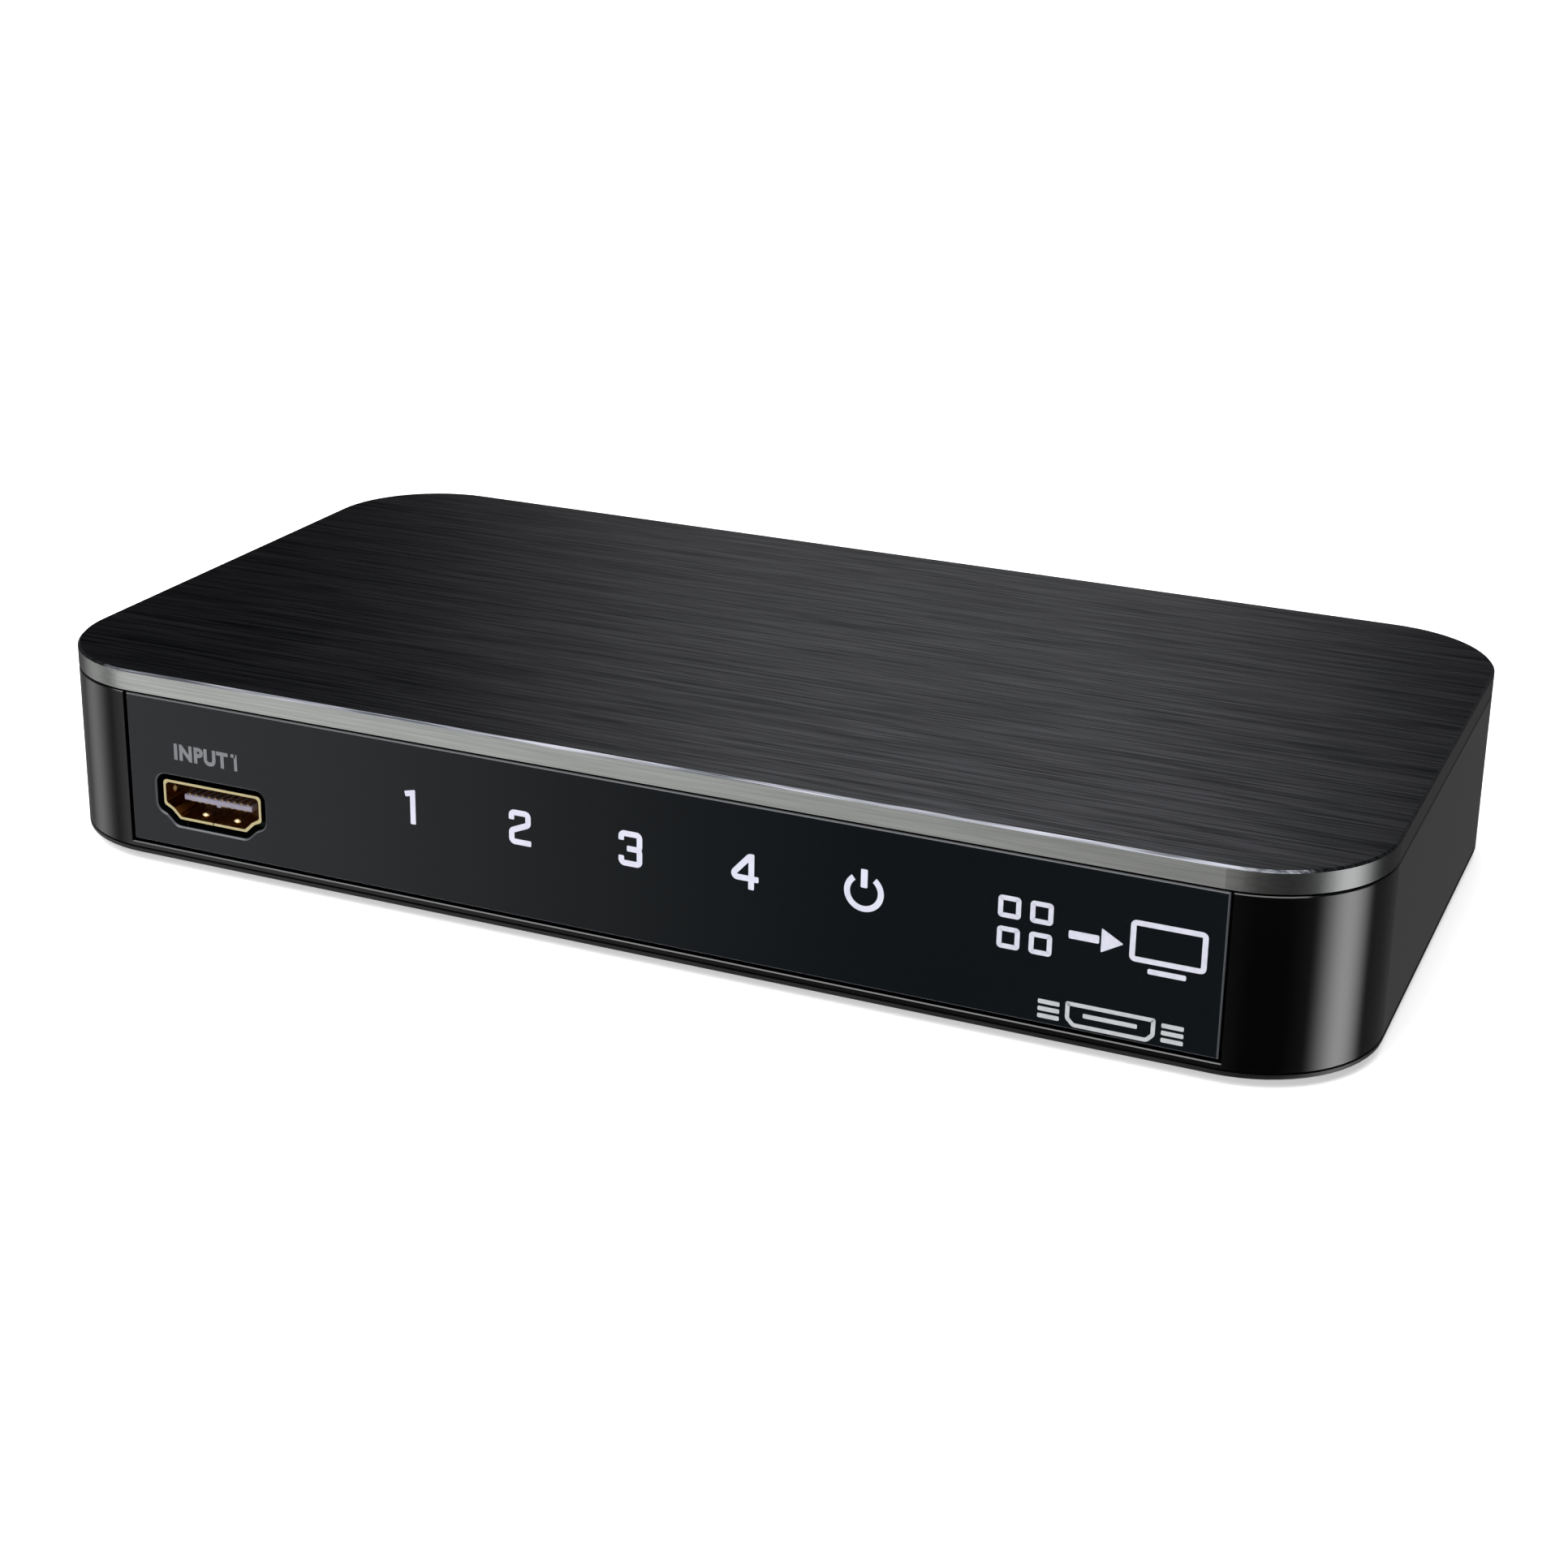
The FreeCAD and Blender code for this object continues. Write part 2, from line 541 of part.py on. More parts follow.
def rear_adhesive():
    half = PANEL_WIDTH / 2 - TAPE_MARGIN
    sheet = box(-half, half, -WALL_Y, -PANEL_BACK_Y, PANEL_Z + TAPE_MARGIN, PANEL_TOP_Z - TAPE_TOP_MARGIN)
    cuts = [at_rear(panel_opening(CUT_THROUGH), x) for x in REAR_SOCKETS.values()]
    clear = JACK_WIDTH / 2 + JACK_ROOM + JACK_FIT
    cuts.append(box(JACK_X - clear, JACK_X + clear, -WALL_Y - OVERSHOOT, DEPTH / 2, 0,
                    BOARD_Z + JACK_HEIGHT + JACK_ROOM))
    return sheet.cut(Part.makeCompound(cuts))


def foot(sx, sy):
    bottom = Vector(sx * FOOT_X, sy * FOOT_Y, 0)
    disc = rod(FOOT_RADIUS, bottom, bottom + Vector(0, 0, FOOT_HEIGHT + FOOT_POCKET))
    rim = [e for e in disc.Edges if e.BoundBox.ZMax < 0.01]
    return disc.makeFillet(FOOT_ROUND, rim)


def case_screw(sx, sy):
    """Countersunk, with a cross recess, driven up into the case's posts."""
    bottom = Vector(sx * CASE_SCREW_X, sy * CASE_SCREW_Y, BASE_Z + CASE_SCREW_SUNK)
    head = Part.makeCone(CASE_SCREW_HEAD, CASE_SCREW_NECK, CASE_SCREW_HEAD_HEIGHT, bottom, Vector(0, 0, 1))
    shank = rod(CASE_SCREW_SHANK, bottom, bottom + Vector(0, 0, CASE_SCREW_LENGTH))
    return fuse([head, shank]).cut(cross_recess(bottom, 1))


def cross_recess(centre, way):
    """A cross-shaped driver recess cut into a screw head, along Z."""
    z0, z1 = sorted((centre.z, centre.z + way * DRIVER_DEPTH))
    bars = [box(centre.x - a, centre.x + a, centre.y - b, centre.y + b, z0, z1)
            for a, b in ((DRIVER_REACH, DRIVER_HALF_WIDTH), (DRIVER_HALF_WIDTH, DRIVER_REACH))]
    return bars[0].fuse(bars[1])


def board_screw(sx, sy):
    seat = Vector(sx * BOARD_SCREW_X, sy * BOARD_SCREW_Y, BOARD_Z)
    crown = seat + Vector(0, 0, BOARD_SCREW_HEAD_HEIGHT)
    head = rod(BOARD_SCREW_HEAD, seat, crown)
    head = head.makeFillet(BOARD_SCREW_ROUND, [e for e in head.Edges if e.BoundBox.ZMin > crown.z - 0.1])
    shank = rod(BOARD_SCREW_SHANK, seat - Vector(0, 0, BOARD_SCREW_LENGTH), seat)
    return fuse([head, shank]).cut(cross_recess(crown, -1))


# ---------------------------------------------------------------- touch icons
def digit(strokes, radius, x):
    pieces = []
    for line in strokes:
        points = [(x + u, ICON_ROW_Z + v) for u, v in line]
        pieces.append(stroke(points, radius, STROKE, facing(FACE_Y), Vector(0, ICON_DEPTH, 0)))
    return pieces[0] if len(pieces) == 1 else fuse(pieces)


def touch_icons():
    top = (DIGIT_HEIGHT - STROKE) / 2
    end = DIGIT_HEIGHT / 2
    one = [[(-1.1, top - 0.25), (0, top), (0, -end)]]
    two = [[(-1.15, 0.95), (-1.15, top), (1.15, top), (1.15, 0.5), (-1.15, -0.5), (-1.15, -top),
            (1.55, -top)]]
    three = [[(-1.25, 1.0), (-1.25, top), (1.2, top), (1.2, 0), (-0.5, 0)],
             [(-0.5, 0), (1.2, 0), (1.2, -top), (-1.25, -top), (-1.25, -1.0)]]
    four = [[(0.8, end), (0.8, -end)],
            [(0.62, end - 0.3), (-1.95, -0.9), (1.75, -0.9)]]
    icons = {
        "icon_1": digit(one, DIGIT_ONE_CORNER, ICON_X[0]),
        "icon_2": digit(two, DIGIT_CORNER, ICON_X[1]),
        "icon_3": digit(three, DIGIT_CORNER, ICON_X[2]),
        "icon_4": digit(four, DIGIT_CORNER, ICON_X[3]),
        "icon_power": power_icon(ICON_X[4]),
    }
    return icons


def power_icon(x):
    z = ICON_ROW_Z + 0.2
    back = FACE_Y + ICON_DEPTH
    ring = rod(POWER_RADIUS, Vector(x, FACE_Y, z), Vector(x, back, z))
    ring = ring.cut(rod(POWER_RADIUS - STROKE, Vector(x, FACE_Y, z), Vector(x, back, z)))
    spread = 2 * POWER_RADIUS * math.tan(math.radians(POWER_GAP_ANGLE))
    wedge = [(x, z, 0), (x + spread, z + 2 * POWER_RADIUS, 0), (x - spread, z + 2 * POWER_RADIUS, 0)]
    ring = ring.cut(slab(outline(wedge, facing(FACE_Y)), Vector(0, ICON_DEPTH, 0)))
    bar_top = z + POWER_RADIUS + 0.4
    bar = stroke([(x, bar_top - POWER_BAR_LENGTH), (x, bar_top)], 0, POWER_BAR_WIDTH,
                 facing(FACE_Y), Vector(0, ICON_DEPTH, 0))
    return Part.makeCompound([ring, bar])


# ---------------------------------------------------------------- video sockets
def at_front(shape, x):
    """Place a socket piece, drawn with its mouth at y = 0 facing -Y, in the front panel."""
    moved = shape.copy()
    moved.translate(Vector(x, FACE_Y, SOCKET_Z))
    return moved


def at_rear(shape, x):
    moved = shape.copy()
    moved.rotate(Vector(0, 0, 0), Vector(0, 0, 1), 180)
    moved.translate(Vector(x, -FACE_Y, SOCKET_Z))
    return moved


def dome(radius, x, y, z, keep):
    """The part of a ball that stands out of a wall, as a pressed spring does."""
    return Part.makeSphere(radius, Vector(x, y, z)).common(box(*keep))


def socket_housing():
    """Folded gold-plated sheet with a seam below, domed springs and solder legs."""
    y0 = SOCKET_INSET
    half = SOCKET_HEIGHT / 2
    tube = slab(socket_outline(0, y0), Vector(0, SOCKET_LENGTH, 0))
    tube = tube.cut(slab(socket_outline(SOCKET_SHEET, y0), Vector(0, SOCKET_LENGTH, 0)))
    tube = tube.cut(box(-SOCKET_SEAM / 2, SOCKET_SEAM / 2, y0, y0 + SEAM_LENGTH, -half - 1, -1))
    additions = []
    spring_y = y0 + SPRING_DEPTH
    for x in (-SPRING_X, SPRING_X):
        for wall, way in ((-half + SOCKET_SHEET, 1), (half - SOCKET_SHEET, -1)):
            z0, z1 = sorted((wall - way * 0.1, wall + way))
            keep = (x - 1, x + 1, y0, y0 + SEAM_LENGTH, z0, z1)
            additions.append(dome(SPRING_RADIUS, x, spring_y, wall - way * 0.4, keep))
    for side in (-1, 1):
        outer = side * SOCKET_WIDTH / 2
        inner = outer - side * SOCKET_SHEET
        x0, x1 = sorted((inner + side * 0.1, inner - side))
        keep = (x0, x1, y0, y0 + SEAM_LENGTH, 0, 2)
        additions.append(dome(SIDE_SPRING_RADIUS, outer, spring_y, SIDE_SPRING_Z, keep))
        x0, x1 = sorted((outer, inner))
        for y in LEG_PLACES:
            additions.append(box(x0, x1, y0 + y, y0 + y + LEG_WIDTH, -half - BOARD_THICKNESS, -0.4))
    return fuse([tube] + additions)


def socket_insulator():
    """Moulded block that closes the back of the housing, with the contact tongue."""
    y0 = SOCKET_INSET
    block_y = y0 + INSULATOR_DEPTH
    back = slab(socket_outline(SOCKET_SHEET, block_y), Vector(0, SOCKET_LENGTH - INSULATOR_DEPTH, 0))
    half = TONGUE_THICKNESS / 2
    nose_y = y0 + TONGUE_INSET
    tongue = box(-TONGUE_WIDTH / 2, TONGUE_WIDTH / 2, nose_y, block_y + 0.2, -half, half)
    nose = [e for e in tongue.Edges if e.BoundBox.YMax < nose_y + 0.01 and e.BoundBox.XLength > 1]
    tongue = tongue.makeChamfer(TONGUE_NOSE, nose)
    key = box(-KEY_HALF_WIDTH, KEY_HALF_WIDTH, nose_y + 0.1, block_y + 0.2, -half - KEY_HEIGHT, 0)
    return fuse([back, tongue, key])


def socket_contacts():
    """Nineteen strips: ten above the tongue and nine below, each with a solder tail behind."""
    rear = SOCKET_INSET + SOCKET_LENGTH
    board = -SOCKET_HEIGHT / 2
    half = CONTACT_WIDTH / 2
    strip_y = (SOCKET_INSET + TONGUE_INSET + CONTACT_INSET, SOCKET_INSET + INSULATOR_DEPTH)
    contacts = []
    for count, way, tail_step in ((10, 1, 0.25), (9, -1, 0.65)):
        face = way * TONGUE_THICKNESS / 2
        z0, z1 = sorted((face, face + way * CONTACT_THICKNESS))
        for i in range(count):
            x = (i - (count - 1) / 2) * CONTACT_PITCH
            if way < 0 and abs(x) < KEY_HALF_WIDTH:
                x = KEY_HALF_WIDTH + 0.25
            contacts.append(box(x - half, x + half, *strip_y, z0, z1))
            tail_x = x * 0.98
            contacts.append(box(tail_x - TAIL_HALF_WIDTH, tail_x + TAIL_HALF_WIDTH, rear, rear + tail_step,
                                board, board + TAIL_HEIGHT))
    return Part.makeCompound(contacts)


# ---------------------------------------------------------------- power jack
def jack_parts():
    """Housing with a round nose, centre pin and side spring; the mouth faces the rear."""
    mouth = -FACE_Y - JACK_MOUTH_INSET
    front = -INSIDE_Y + JACK_INSET
    body = box(JACK_X - JACK_WIDTH / 2, JACK_X + JACK_WIDTH / 2, front - JACK_LENGTH, front, BOARD_Z,
               BOARD_Z + JACK_HEIGHT)
    nose = rod(JACK_NOSE, Vector(JACK_X, front, JACK_Z), Vector(JACK_X, mouth, JACK_Z))
    tip_y = mouth - JACK_PIN_INSET
    floor_y = tip_y - JACK_PIN_TIP - JACK_PIN_LENGTH
    bore = rod(JACK_BORE, Vector(JACK_X, floor_y, JACK_Z), Vector(JACK_X, mouth, JACK_Z))
    slot = box(JACK_X - JACK_SLOT_HALF_WIDTH, JACK_X + JACK_SLOT_HALF_WIDTH, floor_y, front - 2,
               BOARD_Z + 1.0, JACK_Z)
    seat = Vector(JACK_X, floor_y, JACK_Z)
    pin = rod(JACK_PIN, seat, Vector(JACK_X, tip_y, JACK_Z))
    pin = pin.makeFillet(JACK_PIN_TIP, [e for e in pin.Edges if e.BoundBox.YMin > tip_y - 0.01])
    pin = fuse([pin, rod(JACK_PIN_ROOT, seat - Vector(0, JACK_PIN_ROOT_LENGTH, 0), seat)])
    housing = fuse([body, nose]).cut(bore).cut(slot).cut(pin)
    low = JACK_Z - JACK_BORE
    spring = stroke([(front - 3, low - 0.9), (floor_y + 3.2, low + 0.25), (floor_y + 0.3, low - 0.9)],
                    1.35, JACK_SPRING_SHEET, sideways(JACK_X - JACK_SPRING_WIDTH / 2),
                    Vector(JACK_SPRING_WIDTH, 0, 0), 0.05)
    return {"dc_jack_housing": housing, "dc_jack_pin": pin, "dc_jack_spring": spring}


# ---------------------------------------------------------------- circuit board and its parts
def main_board():
    board = rounded_box(BOARD_HALF_WIDTH, BOARD_HALF_DEPTH, BOARD_CORNER, BOARD_Z - BOARD_THICKNESS, BOARD_Z)
    cuts = [rod(BOARD_HOLE, Vector(sx * BOARD_SCREW_X, sy * BOARD_SCREW_Y, 0),
                Vector(sx * BOARD_SCREW_X, sy * BOARD_SCREW_Y, TOP_Z)) for sx, sy in CORNERS]
    legs = []
    for side in (-1, 1):
        x0, x1 = sorted((side * (SOCKET_WIDTH / 2 + 0.1), side * (SOCKET_WIDTH / 2 - 0.5)))
        for place in LEG_PLACES:
            y = SOCKET_INSET + place
            legs.append(box(x0, x1, y - 0.1, y + LEG_WIDTH + 0.1, -SOCKET_HEIGHT / 2 - 2, 0))
    legs = Part.makeCompound(legs)
    cuts.append(at_front(legs, INPUT_1_X))
    cuts += [at_rear(legs, x) for x in REAR_SOCKETS.values()]
    return board.cut(Part.makeCompound(cuts))


def chip(x, y, size, pins):
    """A flat package with leads along two sides or, for square ones, all four."""
    half_x, half_y = size[0] / 2, size[1] / 2
    pieces = [box(x - half_x, x + half_x, y - half_y, y + half_y, BOARD_Z + CHIP_LIFT, BOARD_Z + size[2])]
    pitch = size[0] / (pins + 1)
    half_lead = pitch * LEAD_SHARE / 2
    levels = (BOARD_Z, BOARD_Z + LEAD_HEIGHT)
    for side in (-1, 1):
        for i in range(pins):
            along = x - half_x + (i + 1) * pitch
            y0, y1 = sorted((y + side * half_y, y + side * (half_y + LEAD_LENGTH)))
            pieces.append(box(along - half_lead, along + half_lead, y0, y1, *levels))
            if size[0] == size[1]:
                across = y - half_y + (i + 1) * pitch
                x0, x1 = sorted((x + side * half_x, x + side * (half_x + LEAD_LENGTH)))
                pieces.append(box(x0, x1, across - half_lead, across + half_lead, *levels))
    return Part.makeCompound(pieces)


def heat_sink(x, y, z0):
    half = SINK_HALF_WIDTH
    sink = box(x - half, x + half, y - half, y + half, z0, z0 + SINK_BASE)
    pitch = 2 * half / SINK_FINS
    half_fin = pitch * FIN_SHARE / 2
    blades = []
    for i in range(SINK_FINS):
        middle = x - half + (i + 0.5) * pitch
        blades.append(box(middle - half_fin, middle + half_fin, y - half, y + half, z0 + SINK_BASE,
                          z0 + SINK_HEIGHT))
    return fuse([sink] + blades)


def can_capacitor(x, y):
    half = CAN_RADIUS + CAN_BASE_MARGIN
    base = rounded_box(half, half, 0.8, BOARD_Z, BOARD_Z + CAN_BASE).translate(Vector(x, y, 0))
    crown = BOARD_Z + CAN_HEIGHT
    can = rod(CAN_RADIUS, Vector(x, y, BOARD_Z + CAN_BASE), Vector(x, y, crown))
    can = can.makeFillet(CAN_ROUND, [e for e in can.Edges if e.BoundBox.ZMin > crown - 0.01])
    return Part.makeCompound([base, can])


def rounded_part(place, size, corner):
    """A block with rounded upright edges that stands on the board."""
    block = rounded_box(size[0] / 2, size[1] / 2, corner, BOARD_Z, BOARD_Z + size[2])
    return block.translate(Vector(*place, 0))


def small_parts(places, size):
    """Surface-mount blocks with their long side along X."""
    half_x, half_y = size[0] / 2, size[1] / 2
    return Part.makeCompound([box(x - half_x, x + half_x, y - half_y, y + half_y, BOARD_Z,
                                  BOARD_Z + size[2]) for x, y in places])


def board_components():
    parts = {}
    x, y = SWITCH_CHIP_X, SWITCH_CHIP_Y
    parts["switch_chip"] = chip(x, y, SWITCH_CHIP, 20)
    pad_z = BOARD_Z + SWITCH_CHIP[2]
    parts["thermal_pad"] = box(x - PAD_HALF_WIDTH, x + PAD_HALF_WIDTH, y - PAD_HALF_WIDTH,
                               y + PAD_HALF_WIDTH, pad_z, pad_z + PAD_THICKNESS)
    parts["heat_sink"] = heat_sink(x, y, pad_z + PAD_THICKNESS)
    parts["controller_chip"] = chip(*CONTROLLER_PLACE, CONTROLLER_CHIP, 10)
    parts["regulator_chip"] = chip(*REGULATOR_PLACE, REGULATOR_CHIP, 4)
    parts["power_inductor"] = rounded_part(INDUCTOR_PLACE, INDUCTOR, INDUCTOR_CORNER)
    parts["crystal"] = rounded_part(CRYSTAL_PLACE, CRYSTAL, CRYSTAL_CORNER)
    cans = [can_capacitor(*place) for place in CAN_PLACES]
    parts["electrolytic_capacitors"] = Part.makeCompound(cans)
    rear_xs = sorted(REAR_SOCKETS.values())
    beside = (-SURGE_OFFSET, SURGE_OFFSET)
    surge = [(socket_x + dx, REAR_SURGE_Y) for socket_x in rear_xs for dx in beside]
    surge += [(INPUT_1_X + dx, FRONT_SURGE_Y) for dx in beside]
    parts["surge_arrays"] = small_parts(surge, SURGE_ARRAY)
    rows = [(x + i * CERAMIC_PITCH, y + dy) for i in range(-5, 6) for dy in (-CERAMIC_ROW_Y, CERAMIC_ROW_Y)]
    parts["ceramic_capacitors"] = small_parts(rows, CERAMIC)
    rows = [(socket_x + i * RESISTOR_PITCH, RESISTOR_ROW_Y) for socket_x in rear_xs for i in range(-2, 3)]
    parts["resistors"] = small_parts(rows, RESISTOR)
    return parts


# ---------------------------------------------------------------- touch board
def touch_assembly():
    parts = {}
    centre = ICON_X[2]
    y0, y1 = TOUCH_BOARD_Y, TOUCH_BOARD_Y + TOUCH_BOARD_THICKNESS
    top = TOUCH_BOARD_Z + TOUCH_BOARD_HEIGHT
    parts["touch_board"] = box(centre - TOUCH_BOARD_HALF_WIDTH, centre + TOUCH_BOARD_HALF_WIDTH, y0, y1,
                               TOUCH_BOARD_Z, top)
    rings = []
    for x in ICON_X:
        front, back = Vector(x, PANEL_BACK_Y, ICON_ROW_Z), Vector(x, y0, ICON_ROW_Z)
        rings.append(rod(RING_RADIUS, front, back).cut(rod(RING_RADIUS - RING_WALL, front, back)))
    parts["touch_rings"] = Part.makeCompound(rings)
    led_front = y0 - LED_HEIGHT
    half = LED_HALF_WIDTH
    leds = [box(x - half, x + half, led_front, y0, ICON_ROW_Z - half, ICON_ROW_Z + half) for x in ICON_X]
    parts["status_leds"] = Part.makeCompound(leds)
    guides = [rod(GUIDE_RADIUS, Vector(x, PANEL_BACK_Y, ICON_ROW_Z),
                  Vector(x, led_front - GUIDE_GAP, ICON_ROW_Z)) for x in ICON_X]
    parts["light_guides"] = Part.makeCompound(guides)
    plug_z = TOUCH_BOARD_Z + RIBBON_PLUG_HEIGHT
    cable_y = y1 + RIBBON_REACH
    socket_x = (RIBBON_LEFT - RIBBON_SOCKET_MARGIN, RIBBON_LEFT + RIBBON_WIDTH + RIBBON_SOCKET_MARGIN)
    parts["touch_ribbon_socket"] = box(*socket_x, y1, y1 + RIBBON_SOCKET_HEIGHT,
                                       plug_z - TOUCH_SOCKET_HALF_HEIGHT, plug_z + TOUCH_SOCKET_HALF_HEIGHT)
    parts["main_ribbon_socket"] = box(*socket_x, cable_y - MAIN_SOCKET_HALF_DEPTH,
                                      cable_y + MAIN_SOCKET_HALF_DEPTH, BOARD_Z,
                                      BOARD_Z + RIBBON_SOCKET_HEIGHT)
    route = [(y1 + RIBBON_SOCKET_HEIGHT, plug_z), (cable_y, plug_z),
             (cable_y, BOARD_Z + RIBBON_SOCKET_HEIGHT)]
    parts["ribbon_cable"] = stroke(route, RIBBON_BEND, RIBBON_SHEET, sideways(RIBBON_LEFT),
                                   Vector(RIBBON_WIDTH, 0, 0), 0)
    body = box(RECEIVER_X - RECEIVER_HALF_WIDTH, RECEIVER_X + RECEIVER_HALF_WIDTH, y1, y1 + RECEIVER_DEPTH,
               BOARD_Z, BOARD_Z + RECEIVER_HEIGHT)
    lens = rod(RECEIVER_LENS, Vector(RECEIVER_X, y1 - RECEIVER_LENS_REACH, RECEIVER_Z),
               Vector(RECEIVER_X, y1, RECEIVER_Z))
    parts["infrared_receiver"] = fuse([body, lens])
    return parts


# ---------------------------------------------------------------- all nodes
def build():
    icons = touch_icons()
    parts = dict(icons)
    parts["top_plate"] = top_plate()
    parts["top_adhesive"] = case_slab(PLATE_RIM + PLATEAU_GAP, DECK_TOP_Z, POCKET_Z)
    parts["upper_case"] = upper_case()
    parts["base_cover"] = base_cover()
    parts["front_panel"] = front_panel(icons)
    parts["front_adhesive"] = front_adhesive()
    parts["rear_panel"] = rear_panel()
    parts["rear_adhesive"] = rear_adhesive()
    parts["rating_label"] = rating_label()
    for sx, sy in CORNERS:
        name = "foot_" + ("front" if sy < 0 else "rear") + ("_left" if sx < 0 else "_right")
        parts[name] = foot(sx, sy)
    parts["case_screws"] = Part.makeCompound([case_screw(sx, sy) for sx, sy in CORNERS])
    parts["board_screws"] = Part.makeCompound([board_screw(sx, sy) for sx, sy in CORNERS])
    pieces = {"shell": socket_housing(), "insulator": socket_insulator(), "contacts": socket_contacts()}
    for piece, shape in pieces.items():
        parts["input_1_" + piece] = at_front(shape, INPUT_1_X)
        for name, x in REAR_SOCKETS.items():
            parts[name + "_" + piece] = at_rear(shape, x)
    parts.update(jack_parts())
    parts["main_board"] = main_board()
    parts.update(board_components())
    parts.update(touch_assembly())
    return parts


os.makedirs("parts", exist_ok=True)
ALL_PARTS = build()
for part_name, part_shape in ALL_PARTS.items():
    save(part_name, part_shape)
print(len(ALL_PARTS), "nodes")
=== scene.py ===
# %% [markdown]
# # A four-to-one video switch box
# The object is a low box, 177 mm wide, with rounded corners. A brushed black aluminium plate covers
# its top, and a polished smoked acrylic panel fills its front. All its hard parts come from the
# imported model, which is loaded first and never moved. This script gives each part the finish of its
# real material, adds the printing, and sets the floor, the camera and the lights.

# %% Load the frame
import math

import bpy
from mathutils import Matrix, Vector


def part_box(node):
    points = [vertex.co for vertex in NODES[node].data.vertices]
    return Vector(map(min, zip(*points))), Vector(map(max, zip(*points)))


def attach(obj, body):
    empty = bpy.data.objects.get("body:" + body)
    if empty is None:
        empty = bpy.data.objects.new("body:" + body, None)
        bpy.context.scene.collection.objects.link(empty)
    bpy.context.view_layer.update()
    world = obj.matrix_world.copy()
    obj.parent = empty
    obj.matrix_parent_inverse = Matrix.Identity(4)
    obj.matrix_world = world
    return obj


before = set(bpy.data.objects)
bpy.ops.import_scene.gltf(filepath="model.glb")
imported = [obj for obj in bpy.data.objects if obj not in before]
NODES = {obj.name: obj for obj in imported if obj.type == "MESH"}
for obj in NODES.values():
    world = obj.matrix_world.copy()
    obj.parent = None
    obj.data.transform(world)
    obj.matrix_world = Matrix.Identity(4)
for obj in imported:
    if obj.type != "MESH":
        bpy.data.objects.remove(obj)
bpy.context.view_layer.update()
MM = 0.001

# %% [markdown]
# ## Colours
# A paint chart gives colours as hex codes, which are coded for a screen. The renderer works with
# linear light, so one function does the change for every colour in the file.


# %% Colour helper
def paint(hex_code):
    """An sRGB hex colour as linear red, green, blue and alpha."""
    values = [int(hex_code[i:i + 2], 16) / 255 for i in (1, 3, 5)]
    linear = [v / 12.92 if v <= 0.04045 else ((v + 0.055) / 1.055) ** 2.4 for v in values]
    return (*linear, 1.0)


print("mid grey is", round(paint("#808080")[0], 3), "in linear light")

# %% [markdown]
# ## Building a finish from nodes
# A finish is a small tree of nodes. One function adds any node, sets its properties and fills its
# inputs, either with a value or with another node's output. Two more start and end a tree: the start
# gives the piece's own coordinates in metres, so a pattern keeps its real size and stays in place,
# and the end is the surface itself, where a number that never changes is set straight on its socket.
# The inputs of a math node are numbered in order. A mix node has one pair of inputs for each kind of
# value it can mix, several under the same name, so these are picked by number, and the numbers get
# names here.

# %% Node helpers
FACTOR = 0
NUMBER_A, NUMBER_B, NUMBER_OUT = 2, 3, 0
COLOUR_A, COLOUR_B, COLOUR_OUT = 6, 7, 2


def add(tree, kind, settings=None, inputs=None):
    """Add a node, set its properties, and fill its inputs with values or other nodes' outputs."""
    node = tree.nodes.new(kind)
    for name, value in (settings or {}).items():
        setattr(node, name, value)
    for name, value in (inputs or {}).items():
        if isinstance(value, bpy.types.NodeSocket):
            tree.links.new(value, node.inputs[name])
        else:
            node.inputs[name].default_value = value
    return node


def start(name):
    """A new material with an empty tree, and the piece's own coordinates."""
    material = bpy.data.materials.new(name)
    material.use_nodes = True
    tree = material.node_tree
    tree.nodes.clear()
    return material, tree, add(tree, "ShaderNodeTexCoord").outputs["Object"]


def end(tree, sockets):
    """The surface of a material, with the given sockets filled."""
    shader = add(tree, "ShaderNodeBsdfPrincipled", inputs=sockets)
    add(tree, "ShaderNodeOutputMaterial", inputs={"Surface": shader.outputs["BSDF"]})


print("node helpers ready")

# %% [markdown]
# ## Giving a finish to parts
# A part shows the material in its first slot, so a new finish only has to replace what the slot
# holds. A set keeps the names of the parts that are done, and at the end it shows if any was missed.
# Parts of one kind end in the same word, so they can be found by it. Some finishes depend on which
# way the surface faces, and a helper measures that: it could be painted on by hand for each face,
# but the surface's own direction needs no marking and is right on rounded edges too.

# %% Slot helpers
FINISHED = set()


def give(material, *names):
    """Put a material on the named CAD nodes. Only the slot changes, never the mesh."""
    FINISHED.update(names)
    for name in names:
        slots = NODES[name].data.materials
        slots.clear()
        slots.append(material)
    print(material.name, "on", len(names), "nodes")


def nodes_ending(*tails):
    """The names of the CAD nodes that end with any of the given words."""
    return [name for name in sorted(NODES) if name.endswith(tails)]


def facing(tree, axis):
    """How squarely the surface faces along an axis, either way: 0 is side on and 1 is square on."""
    normal = add(tree, "ShaderNodeNewGeometry").outputs["Normal"]
    along = add(tree, "ShaderNodeSeparateXYZ", inputs={"Vector": normal}).outputs[axis]
    return add(tree, "ShaderNodeMath", {"operation": "ABSOLUTE"}, {0: along}).outputs["Value"]


print(len(nodes_ending("_shell")), "sockets")

# %% [markdown]
# ## Brushed black anodised aluminium
# The top plate is pressed from sheet, brushed with an abrasive belt along its width, and dyed black
# as it is anodised. The belt leaves parallel scratches, so the pattern is noise drawn out along X:
# fine scratches about a quarter of a millimetre wide, which is as fine as shows here, and broader
# bands where the belt bit deeper. Scratches spread light across themselves and not along themselves,
# so the surface is anisotropic, with its rough direction square to the grain. Scratches could also be
# cut into the mesh, but noise costs nothing and keeps its size from near and far.

